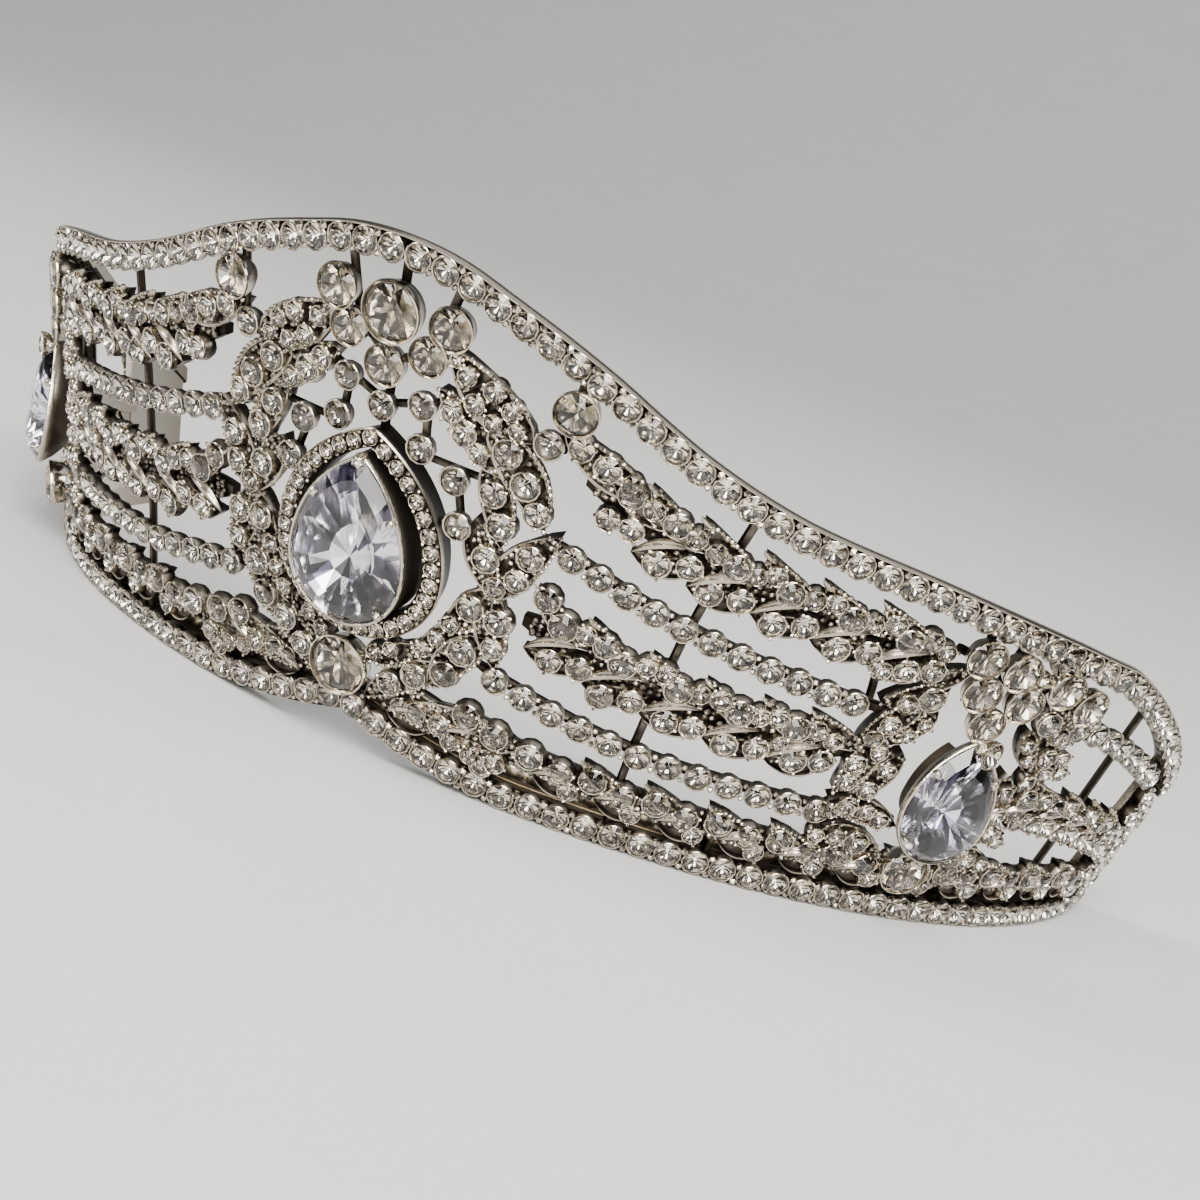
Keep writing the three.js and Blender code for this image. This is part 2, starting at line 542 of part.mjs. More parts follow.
function buildTiara() {
  const tiara = new THREE.Group();
  tiara.add(mesh("soldered_frame", toGeometry(solderedFrame()), SILVER));
  tiara.add(mesh("centre_pear_stone", pearGem(CENTRE_PEAR), VIOLET, stand(CENTRE_PEAR)));
  for (const row of CUP_STONES) {
    tiara.add(mesh(row.name, roundGem(row.radius, row.deep, 8), CLEAR, stand({ ...row, d: row.girdle })));
  }
  for (const row of CENTRE_ROUNDS) {
    tiara.add(mesh(row.name, roundGem(row.radius, ROUND_DEEP, 8), CLEAR, stand({ ...row, d: ROUND_GIRDLE })));
  }
  for (const [suffix, side] of [["right", 1], ["left", -1]]) {
    const pear = { ...SIDE_PEAR, s: side * SIDE_PEAR.s };
    tiara.add(mesh(`side_pear_stone_${suffix}`, pearGem(pear), VIOLET, stand(pear)));
    for (const row of PAIRED_ROUNDS) {
      const at = stand(mirrored({ ...row, d: ROUND_GIRDLE }, side));
      tiara.add(mesh(`${row.name}_${suffix}`, roundGem(row.radius, ROUND_DEEP, 8), CLEAR, at));
    }
    for (const row of SIDE_CUP_STONES) {
      const at = stand(mirrored({ ...row, d: row.girdle }, side));
      tiara.add(mesh(`${row.name}_${suffix}`, roundGem(row.radius, row.deep, 8), CLEAR, at));
    }
  }
  const extent = new THREE.Box3().setFromObject(tiara);
  tiara.position.y = -(extent.min.y + extent.max.y) / 2;
  return tiara;
}

export default buildTiara();
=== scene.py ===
"""Looks of a pierced bandeau tiara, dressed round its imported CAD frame.

The metal and the small stones are laid out flat, as a maker draws them: s runs along the
foot of the wall from the middle of the front, h runs up the wall and d stands out of its
face, all in millimetres. Wall.bend() lays them on the flared, elliptical wall in metres.
"""

from __future__ import annotations

import logging
import math
import random
from dataclasses import dataclass, field
from enum import Enum
from typing import Callable, Iterable, Sequence

import bmesh
import bpy
import numpy as np
from mathutils import Matrix, Vector


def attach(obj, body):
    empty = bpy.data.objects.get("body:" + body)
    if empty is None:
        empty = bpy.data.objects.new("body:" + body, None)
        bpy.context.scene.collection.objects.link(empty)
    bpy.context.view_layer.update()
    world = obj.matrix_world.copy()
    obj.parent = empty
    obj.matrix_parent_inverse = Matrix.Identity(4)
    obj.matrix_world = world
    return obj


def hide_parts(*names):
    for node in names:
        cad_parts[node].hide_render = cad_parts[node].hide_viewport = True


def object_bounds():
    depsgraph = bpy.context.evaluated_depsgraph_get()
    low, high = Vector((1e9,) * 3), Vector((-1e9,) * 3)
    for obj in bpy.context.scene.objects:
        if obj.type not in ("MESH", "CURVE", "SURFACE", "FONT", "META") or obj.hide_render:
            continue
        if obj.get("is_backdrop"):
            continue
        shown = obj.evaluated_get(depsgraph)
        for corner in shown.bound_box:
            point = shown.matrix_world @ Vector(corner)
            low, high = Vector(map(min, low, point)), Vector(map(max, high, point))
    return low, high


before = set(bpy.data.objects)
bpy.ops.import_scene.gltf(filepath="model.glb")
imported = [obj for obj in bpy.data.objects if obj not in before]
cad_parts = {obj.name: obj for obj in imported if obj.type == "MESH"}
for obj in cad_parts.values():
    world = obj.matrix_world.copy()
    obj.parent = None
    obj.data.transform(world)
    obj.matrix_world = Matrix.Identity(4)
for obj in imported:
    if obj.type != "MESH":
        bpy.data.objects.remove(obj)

LOG = logging.getLogger("tiara")
MM = 0.001
PROBE = 0.05  # millimetres over which the wall's stretch is measured
ON_MIDDLE = 1e-4  # millimetres from the middle line within which a point lies on it
SEAM = 0.9999  # share of a turn past which a point is the first one again
METAL_EDGE, FACETS = 38.0, 0.0  # degrees past which an edge stays sharp; 0 keeps every facet
# Plain walls keep at least this much of their bright colour and polish, which holds them out of the painted hollow
# shade.
PLAIN_FACING, PLAIN_BRIGHTNESS_AND_POLISH = 0.6, 0.72  # how far a plain wall faces back or up, and its least polish
FACET_SEED, HAND_SEED = 3, 7
MIX_SHADE, MIX_LIGHT, MIX_RESULT = 6, 7, 2  # colour sockets of a Mix node

Spot = tuple[float, float]
Place = tuple[float, float, float]
Tone = tuple[float, float, float]
Section = Sequence[Spot]
Stones = Sequence[Place]
Links = Sequence[tuple[Spot, Spot]]


class Slot(Enum):
    """Material slots of the record that the pieces stand in."""

    SILVER = "silver_metal"
    CLEAR = "clear_stone"
    VIOLET = "violet_stone"


class Side(Enum):
    """Halves of the tiara, by the sign of their arcs."""

    RIGHT = 1
    LEFT = -1


# ---- the wall and the lines of the design ----


@dataclass(frozen=True)
class Wall:
    """The wall that carries the design: an ellipse in plan, leaning outward."""

    plan_y: float = 0.0
    half_width: float = 64.0
    half_depth: float = 57.7
    flare_front: float = 18.6
    flare_side: float = 16.0
    reach: float = 99.0
    fineness: int = 4001

    def feet(self, arcs: np.ndarray) -> tuple[np.ndarray, np.ndarray]:
        """Points of the wall's foot.

        Args:
            arcs: Distances along the foot from the middle of the front.

        Returns:
            Their x and y, about the middle of the ellipse.
        """
        turns = np.linspace(-math.pi / 2, math.pi / 3, self.fineness)
        x = self.half_width * np.cos(turns)
        y = self.half_depth * np.sin(turns)
        lengths = np.concatenate([[0.0], np.cumsum(np.hypot(np.diff(x), np.diff(y)))])
        turn = np.interp(arcs, lengths, turns)
        return self.half_width * np.cos(turn), self.half_depth * np.sin(turn)

    def lean(self, arc: float) -> float:
        """Works out how far the wall leans outward.

        Args:
            arc: Distance along the foot from the middle of the front.

        Returns:
            The angle in radians.
        """
        x, _ = self.feet(np.array([abs(arc)]))
        share = float(x[0] / self.half_width) ** 2
        return math.radians(self.flare_front + (self.flare_side - self.flare_front) * share)

    def bend(self, flat: np.ndarray) -> np.ndarray:
        """Lays flat points on the wall.

        Args:
            flat: Rows of s, h and d in millimetres.

        Returns:
            Rows of x, y and z in metres.
        """
        s, h, d = flat.T
        x, y = self.feet(np.abs(s))
        nx = x / self.half_width**2
        ny = y / self.half_depth**2
        size = np.hypot(nx, ny)
        lean = np.radians(self.flare_front + (self.flare_side - self.flare_front) * (x / self.half_width) ** 2)
        out = h * np.sin(lean) + d * np.cos(lean)
        across = (x + nx / size * out) * np.where(s < 0, -1.0, 1.0)
        deep = y + ny / size * out
        return np.column_stack([across * MM, deep * MM + self.plan_y, (h * np.cos(lean) - d * np.sin(lean)) * MM])

    def stretch(self, s: float, h: float) -> float:
        """How much longer a step along s is at height h than at the foot."""
        near, far = self.bend(np.array([[abs(s), h, 0.0], [abs(s) + PROBE, h, 0.0]]))
        return float(np.linalg.norm(far - near)) / (PROBE * MM)

    def stand(self, s: float, h: float, d: float, tilt: float = 0.0) -> Matrix:
        """Place of a piece on the wall.

        Args:
            s: Arc of its middle.
            h: Height of its middle up the wall.
            d: Distance of its middle from the face.
            tilt: Degrees by which its lower end swings outward.

        Returns:
            The matrix that takes millimetres about the piece's middle to metres.
        """
        step = 0.01
        origin, ahead, above = (
            Vector(row) for row in self.bend(np.array([[s, h, d], [s + step, h, d], [s, h + step, d]]))
        )
        along = (ahead - origin).normalized()
        up = (above - origin).normalized()
        out = along.cross(up)
        angle = math.radians(tilt)
        leaned = up * math.cos(angle) - out * math.sin(angle)
        facing = along.cross(leaned)
        axes = Matrix((along, leaned, facing)).transposed().to_4x4()
        return Matrix.Translation(origin) @ axes @ Matrix.Scale(MM, 4)


@dataclass(frozen=True)
class Line:
    """Height of a long member over its arc, through a table of points."""

    rows: tuple[Spot, ...]
    taper_start: float = 69.0
    taper_length: float = 16.0
    taper_depth: float = 0.19
    taper_power: float = 1.3

    def at(self, arc: float) -> float:
        """Height of the line, lowered towards the two ends.

        Args:
            arc: Distance along the foot from the middle of the front.

        Returns:
            The height up the wall.
        """
        arc = abs(arc)
        last = len(self.rows) - 2
        i = max(0, min(last, sum(1 for s, _ in self.rows if s <= arc) - 1))
        (s0, h0), (s1, h1) = self.rows[i], self.rows[i + 1]
        span = s1 - s0
        u = (arc - s0) / span
        ease = u * u * (3 - 2 * u)
        bow = u * (1 - u) * span * ((1 - u) * self._slope(i) - u * self._slope(i + 1))
        past = max(arc - self.taper_start, 0.0) / self.taper_length
        taper = 1 - self.taper_depth * past**self.taper_power
        return (h0 * (1 - ease) + h1 * ease + bow) * taper

    def _slope(self, k: int) -> float:
        """Slope at a row of the table, level where the line crosses the middle.

        Args:
            k: Number of the row.

        Returns:
            Rise over arc.
        """
        if k == 0 and self.rows[0][0] == 0:
            return 0.0
        (s0, h0), (s1, h1) = self.rows[max(k - 1, 0)], self.rows[min(k + 1, len(self.rows) - 1)]
        return (h1 - h0) / (s1 - s0)


@dataclass(frozen=True)
class FootLine:
    """Height of the foot rail's stones, with the soft arch in the middle of the front."""

    height: float = 1.48
    rise: float = 3.6
    reach: float = 20.0

    def at(self, arc: float) -> float:
        """Height at an arc."""
        near = max(1 - abs(arc) / self.reach, 0.0)
        return self.height + self.rise * near * near


TOP_LINE = Line((
    (0, 51.2), (4.5, 50.7), (9, 49.1), (13.5, 47.3), (18, 45.2), (22, 43.0), (26, 41.0), (31, 39.1),
    (36, 37.8), (47, 36.2), (61, 33.7), (69, 32.1), (110, 26),
))
UPPER_GARLAND = Line(((14, 37.4), (18, 36.4), (25, 33.9), (30, 32.3), (37, 31.1), (45, 30.2), (52, 30.4)))
UPPER_ROW = Line(((15, 29.4), (18.2, 28.6), (23.5, 26.9), (28.8, 25.6), (36.8, 24.2), (45.1, 23.3), (49, 23.0)))
MIDDLE_GARLAND = Line(((14, 20.9), (18.5, 20.1), (24, 18.8), (30, 17.7), (36, 17.2), (42, 17.4), (48, 18.0)))
LOWER_ROW = Line(((11, 14.5), (14.6, 13.5), (20.3, 12.3), (26, 11.3), (33, 10.8), (46.5, 10.9), (50, 11.2)))
LOWER_GARLAND = Line((
    (5, 6.6), (9, 6.9), (14, 7.0), (20, 6.3), (28, 5.9), (40, 5.7), (56, 5.8), (70, 6.2), (85, 7.5), (95, 9.3),
))
OUTER_ROW = Line(((63, 27.0), (67, 25.8), (73, 25.6), (110, 24)))
OUTER_GARLAND = Line(((63, 16), (70, 15.6), (80, 15.4), (110, 14)))
FOOT_LINE = FootLine()


# ---- finishes ----


def link_chain(tree: bpy.types.NodeTree, *pairs: tuple[bpy.types.NodeSocket, bpy.types.NodeSocket]) -> None:
    """Links each pair of sockets, output first."""
    for output, socket in pairs:
        tree.links.new(output, socket)


def new_material(name: str) -> tuple[bpy.types.Material, bpy.types.NodeTree, bpy.types.Node]:
    """Makes an empty node material.

    Args:
        name: Its name.

    Returns:
        The material, its node tree and its Principled shader.
    """
    material = bpy.data.materials.new(name)
    material.use_nodes = True
    tree = material.node_tree
    return material, tree, tree.nodes["Principled BSDF"]


def add_node(tree: bpy.types.NodeTree, kind: str, **values: object) -> bpy.types.Node:
    """Adds a node and sets its values.

    Args:
        tree: Tree that takes it.
        kind: Its type's name.
        **values: Attributes, or sockets by name with spaces as underscores.

    Returns:
        The node.
    """
    node = tree.nodes.new(kind)
    for key, value in values.items():
        if hasattr(node, key):
            setattr(node, key, value)
        else:
            node.inputs[key.replace("_", " ")].default_value = value
    return node


def toned(tree: bpy.types.NodeTree, shade: Tone, light: Tone) -> bpy.types.Node:
    """Adds a mix of two colours.

    Args:
        tree: Tree that takes it.
        shade: Colour at 0.
        light: Colour at 1.

    Returns:
        The Mix node.
    """
    tone = add_node(tree, "ShaderNodeMix", data_type="RGBA")
    tone.inputs[MIX_SHADE].default_value = (*shade, 1.0)
    tone.inputs[MIX_LIGHT].default_value = (*light, 1.0)
    return tone


@dataclass(frozen=True)
class Metal:
    """Cast silver-coloured metal: bright on its raised parts, greyed and brown in its hollows with tarnish and painted
    shade.
    """

    name: str
    bright: Tone = (0.6, 0.54, 0.44)
    # The dark tone is tarnish deepened with painted shade, laid on the sunk parts of the metal.
    dark: Tone = (0.017, 0.013, 0.009)
    smooth: float = 0.17
    rough: float = 0.42
    grain: float = 0.00003
    tarnish_and_shade_range: Spot = (-0.15, 1.15)
    clouds: float = 420.0
    cloud_share: float = 1.1
    pores: float = 2600.0
    pore_strength: float = 0.5

    def material(self) -> bpy.types.Material:
        """Makes the metal, which reads depth, the height above the face, to lay tarnish and painted shade in the
        hollows, and back, which keeps plain walls bright and polished, out of that painted shade.

        Returns:
            The material.
        """
        material, tree, shader = new_material(self.name)
        place = add_node(tree, "ShaderNodeTexCoord")
        cloud = add_node(tree, "ShaderNodeTexNoise", Scale=self.clouds, Detail=4.0, Roughness=0.6)
        pores = add_node(tree, "ShaderNodeTexNoise", Scale=self.pores, Detail=2.0, Roughness=0.5)
        depth = add_node(tree, "ShaderNodeAttribute", attribute_name="depth")
        back = add_node(tree, "ShaderNodeAttribute", attribute_name="back")
        spread = add_node(tree, "ShaderNodeMath", operation="MULTIPLY_ADD")
        spread.inputs[1].default_value = self.cloud_share
        # Darker towards the hollows: partly tarnish, partly painted shade where the metal is sunk below its face.
        tarnish_and_shade = add_node(tree, "ShaderNodeMapRange", interpolation_type="SMOOTHSTEP")
        tarnish_and_shade.inputs["From Min"].default_value, tarnish_and_shade.inputs["From Max"].default_value = self.tarnish_and_shade_range
        share = add_node(tree, "ShaderNodeMath", operation="MAXIMUM")
        tone = toned(tree, self.dark, self.bright)
        sheen = add_node(tree, "ShaderNodeMapRange", To_Min=self.rough, To_Max=self.smooth)
        bump = add_node(tree, "ShaderNodeBump", Strength=self.pore_strength, Distance=self.grain)
        link_chain(
            tree,
            (place.outputs["Object"], cloud.inputs["Vector"]),
            (place.outputs["Object"], pores.inputs["Vector"]),
            (cloud.outputs["Fac"], spread.inputs[0]),
            (depth.outputs["Fac"], spread.inputs[2]),
            (spread.outputs[0], tarnish_and_shade.inputs["Value"]),
            (tarnish_and_shade.outputs["Result"], share.inputs[0]),
            (back.outputs["Fac"], share.inputs[1]),
            (share.outputs[0], tone.inputs[0]),
            (tone.outputs[MIX_RESULT], shader.inputs["Base Color"]),
            (share.outputs[0], sheen.inputs["Value"]),
            (sheen.outputs["Result"], shader.inputs["Roughness"]),
            (pores.outputs["Fac"], bump.inputs["Height"]),
            (bump.outputs["Normal"], shader.inputs["Normal"]),
        )
        shader.inputs["Metallic"].default_value = 1.0
        return material


@dataclass(frozen=True)
class Foil:
    """The mirror behind a stone, painted dark on some facets and bright on others as painted reflections."""

    name: str
    # light and shade are the bright and dark painted reflections of the facets.
    light: Tone = (1.0, 0.955, 0.85)
    shade: Tone = (0.05, 0.041, 0.028)
    facets: float = 1300.0
    cloud: float = 0.3
    painted_reflection_range: Spot = (0.18, 0.5)
    rough: float = 0.1

    def material(self) -> bpy.types.Material:
        """Makes the foil, which reads facet, a chance number for each facet that picks its painted reflection.

        Returns:
            The material.
        """
        material, tree, shader = new_material(self.name)
        place = add_node(tree, "ShaderNodeTexCoord")
        cells = add_node(tree, "ShaderNodeTexVoronoi", Scale=self.facets)
        split = add_node(tree, "ShaderNodeSeparateColor")
        facet = add_node(tree, "ShaderNodeAttribute", attribute_name="facet")
        both = add_node(tree, "ShaderNodeMath", operation="MULTIPLY_ADD")
        both.inputs[1].default_value = self.cloud
        low, high = (edge + self.cloud / 2 for edge in self.painted_reflection_range)
        # Painted reflections: each facet's colour runs from near black to bright, standing in for what it would
        # mirror.
        spread = add_node(tree, "ShaderNodeMapRange", From_Min=low, From_Max=high)
        tone = toned(tree, self.shade, self.light)
        link_chain(
            tree,
            (place.outputs["Object"], cells.inputs["Vector"]),
            (cells.outputs["Color"], split.inputs["Color"]),
            (split.outputs["Red"], both.inputs[0]),
            (facet.outputs["Fac"], both.inputs[2]),
            (both.outputs[0], spread.inputs["Value"]),
            (spread.outputs["Result"], tone.inputs[0]),
            (tone.outputs[MIX_RESULT], shader.inputs["Base Color"]),
        )
        shader.inputs["Metallic"].default_value = 1.0
        shader.inputs["Roughness"].default_value = self.rough
        return material


@dataclass(frozen=True)
class Gem:
    """Clear cut stone, with a faint cloud in its colour."""

    name: str
    light: Tone
    shade: Tone
    bending: float = 1.6
    clouds: float = 160.0
    rough: float = 0.01

    def material(self) -> bpy.types.Material:
        """Makes the stone's clear body.

        Returns:
            The material.
        """
        material, tree, shader = new_material(self.name)
        place = add_node(tree, "ShaderNodeTexCoord")
        cloud = add_node(tree, "ShaderNodeTexNoise", Scale=self.clouds, Detail=2.0)
        tone = toned(tree, self.shade, self.light)
        link_chain(
            tree,
            (place.outputs["Object"], cloud.inputs["Vector"]),
            (cloud.outputs["Fac"], tone.inputs[0]),
            (tone.outputs[MIX_RESULT], shader.inputs["Base Color"]),
        )
        shader.inputs["Roughness"].default_value = self.rough
        shader.inputs["IOR"].default_value = self.bending
        shader.inputs["Transmission Weight"].default_value = 1.0
        return material


@dataclass(frozen=True)
class Paper:
    """Pale seamless paper of the floor and backdrop."""

    name: str = "pale_paper"
    light: Tone = (0.66, 0.66, 0.655)
    shade: Tone = (0.60, 0.60, 0.60)
    fibres: float = 60.0
    rough: float = 0.75

    def material(self) -> bpy.types.Material:
        """Makes the paper.

        Returns:
            The material.
        """
        material, tree, shader = new_material(self.name)
        place = add_node(tree, "ShaderNodeTexCoord")
        fibre = add_node(tree, "ShaderNodeTexNoise", Scale=self.fibres, Detail=5.0)
        tone = toned(tree, self.shade, self.light)
        link_chain(
            tree,
            (place.outputs["Object"], fibre.inputs["Vector"]),
            (fibre.outputs["Fac"], tone.inputs[0]),
            (tone.outputs[MIX_RESULT], shader.inputs["Base Color"]),
        )
        shader.inputs["Roughness"].default_value = self.rough
        return material


# ---- shapes that repeat ----


def kept(bm: bmesh.types.BMesh, name: str) -> bpy.types.Mesh:
    """Closes a bmesh into a mesh.

    Args:
        bm: The bmesh, which is freed.
        name: Name of the mesh.

    Returns:
        The mesh.
    """
    mesh = bpy.data.meshes.new(name)
    bm.to_mesh(mesh)
    bm.free()
    return mesh


def mark(mesh: bpy.types.Mesh, name: str, domain: str, values: Sequence[float]) -> None:
    """Gives a mesh an attribute that its finish reads.

    Args:
        mesh: The mesh.
        name: Name of the attribute.
        domain: POINT or FACE, whichever each value belongs to.
        values: Its values.
    """
    attribute = mesh.attributes.new(name, "FLOAT", domain)
    attribute.data.foreach_set("value", values)


def corner_at(section: Section, share: float) -> Spot:
    """The corner of a closed section at a share of the way round it."""
    return section[round(share * len(section)) % len(section)]


def turned(name: str, profile: Sequence[Spot], steps: int) -> bpy.types.Mesh:
    """Turns a profile about the Z axis.

    Args:
        name: Name of the mesh.
        profile: Radius and height of each point.
        steps: Flats of a full turn.

    Returns:
        The closed mesh.
    """
    bm = bmesh.new()
    points = [bm.verts.new((r, 0.0, z)) for r, z in profile]
    edges = [bm.edges.new(pair) for pair in zip(points, points[1:])]
    bmesh.ops.spin(
        bm, geom=points + edges, cent=(0, 0, 0), axis=(0, 0, 1), angle=2 * math.pi, steps=steps, use_merge=True,
    )
    bmesh.ops.remove_doubles(bm, verts=bm.verts[:], dist=1e-5)
    bmesh.ops.recalc_face_normals(bm, faces=bm.faces[:])
    return kept(bm, name)


def cut_hull(bm: bmesh.types.BMesh, foiled_below: float) -> None:
    """Cuts facets between the points of a gem.

    Args:
        bm: The gem's rings of points.
        foiled_below: Height under which facets are foiled, the second material.
    """
    bmesh.ops.convex_hull(bm, input=bm.verts[:], use_existing_faces=False)
    stray = [edge for edge in bm.edges if not edge.link_faces]
    bmesh.ops.delete(bm, geom=stray, context="EDGES")
    loose = [vert for vert in bm.verts if not vert.link_faces]
    bmesh.ops.delete(bm, geom=loose, context="VERTS")
    bmesh.ops.dissolve_limit(bm, angle_limit=math.radians(0.4), verts=bm.verts[:], edges=bm.edges[:])
    bmesh.ops.recalc_face_normals(bm, faces=bm.faces[:])
    facet = bm.faces.layers.float.new("facet")
    chance = random.Random(FACET_SEED)
    for face in bm.faces:
        # Each facet's chance number picks its painted reflection, dark or bright, in the foil.
        face[facet] = chance.random()
        if face.calc_center_median().z < foiled_below:
            face.material_index = 1


@dataclass(frozen=True)
class RoundCut:
    """A round brilliant of unit radius about its girdle."""

    sides: int = 8
    table: float = 0.56
    crown: float = 0.34
    keel: float = 0.72
    girdle: float = 0.03
    foiled_below: float = -0.035
    middle_rings: bool = False
    crown_ring: Spot = (0.83, 0.62)
    keel_ring: Spot = (0.55, 0.5)

    def mesh(self, name: str) -> bpy.types.Mesh:
        """Cuts the stone and foils its lower facets.

        Args:
            name: Name of the mesh.

        Returns:
            The mesh.
        """
        bm = bmesh.new()
        rings = [(self.sides, self.table, self.crown, 0.0), (2 * self.sides, 1.0, self.girdle, 0.0),
                 (2 * self.sides, 1.0, -self.girdle, 0.0)]
        if self.middle_rings:
            for (radius, share), height in ((self.crown_ring, self.crown), (self.keel_ring, -self.keel)):
                rings.append((self.sides, radius, height * share, math.pi / self.sides))
        for count, radius, z, turn in rings:
            spot = Matrix.Translation((0, 0, z)) @ Matrix.Rotation(turn, 4, "Z")
            bmesh.ops.create_circle(bm, segments=count, radius=radius, matrix=spot)
        bm.verts.new((0.0, 0.0, -self.keel))
        cut_hull(bm, self.foiled_below)
        return kept(bm, name)


@dataclass(frozen=True)
class PearCut:
    """Outline of a pear stone: a half round below and two arcs that meet in the point above."""

    length: float
    half: float
    round_share: float = 0.42
    arc_share: float = 0.29
    foiled_below: float = -0.14

    @property
    def waist(self) -> float:
        """Height of the widest place, about the middle of the length."""
        return self.half - self.length / 2

    def edge(self, turn: float, offset: float = 0.0) -> Vector:
        """A point of the outline.

        Args:
            turn: Share of the way round, from the widest place on the left over the bottom.
            offset: Distance outside the stone.

        Returns:
            The point, with z left at 0.
        """
        w = self.half + offset
        rise = self.length - self.half + offset
        radius = (w * w + rise * rise) / (2 * w)
        sweep = math.asin(rise / radius)
        turn %= 1.0
        if turn < self.round_share:
            angle = math.pi * (1 + turn / self.round_share)
            return Vector((w * math.cos(angle), self.waist + w * math.sin(angle), 0.0))
        share = (turn - self.round_share) / self.arc_share
        side = 1.0 if share <= 1.0 else -1.0
        angle = sweep * (share if share <= 1.0 else 2.0 - share)
        x = w - radius + radius * math.cos(angle)
        return Vector((side * x, self.waist + radius * math.sin(angle), 0.0))

    def brilliant(self, name: str, crown: float, keel: float) -> bpy.types.Mesh:
        """Cuts the stone with a table, crown facets and long keel facets.

        Args:
            name: Name of the mesh.
            crown: Height of the table above the girdle.
            keel: Depth of its lowest point.

        Returns:
            The mesh.
        """
        bm = bmesh.new()
        rings = (
            (12, 0.48, crown, False), (16, 0.66, crown * 0.87, True), (20, 0.84, crown * 0.6, False),
            (24, 1.0, 0.18, True), (24, 1.0, -0.12, True), (16, 0.66, -keel * 0.42, True),
            (16, 0.34, -keel * 0.76, False),
        )
        lowest = Vector((0.0, self.waist * 0.8, 0.0))
        for count, scale, z, between in rings:
            for k in range(count):
                rim = self.edge(k / count + (0.5 / count if between else 0.0))
                spot = lowest + (rim - lowest) * scale
                bm.verts.new((spot.x, spot.y, z))
        bm.verts.new((lowest.x, lowest.y, -keel))
        cut_hull(bm, self.foiled_below)
        return kept(bm, name)


@dataclass
class Patterns:
    """Small shapes that are stamped many times, drawn once at unit radius."""

    collet: bpy.types.Mesh = field(init=False)
    collar: bpy.types.Mesh = field(init=False)
    cup: bpy.types.Mesh = field(init=False)
    bead: bpy.types.Mesh = field(init=False)
    chaton: bpy.types.Mesh = field(init=False)
    flats: int = 12
    cup_flats: int = 28

    def __post_init__(self) -> None:
        """Draws the shapes."""
        self.collet = turned("collet", (
            (0.0, -1.5), (0.66, -1.5), (0.98, -0.8), (1.09, -0.1), (1.1, 0.08), (1.05, 0.15), (0.98, 0.11),
            (0.95, -0.05), (0.0, -0.98),
        ), self.flats)
        self.collar = turned("collar", (
            (0.0, -1.5), (1.0, -1.5), (1.22, -0.95), (1.22, -0.5), (1.1, -0.14), (1.1, 0.08), (1.05, 0.15),
            (0.98, 0.11), (0.95, -0.05), (0.0, -0.98),
        ), self.flats)
        self.cup = turned("cup", (
            (0.0, -1.0), (0.6, -1.0), (0.92, -0.6), (1.05, -0.12), (1.075, 0.02), (1.06, 0.1), (1.02, 0.12),
            (0.98, 0.04), (0.96, -0.1), (0.0, -0.85),
        ), self.cup_flats)
        ball = bmesh.new()
        bmesh.ops.create_icosphere(ball, subdivisions=1, radius=1.0)
        self.bead = kept(ball, "bead")
        self.chaton = RoundCut().mesh("chaton")


# ---- laying out and bending ----


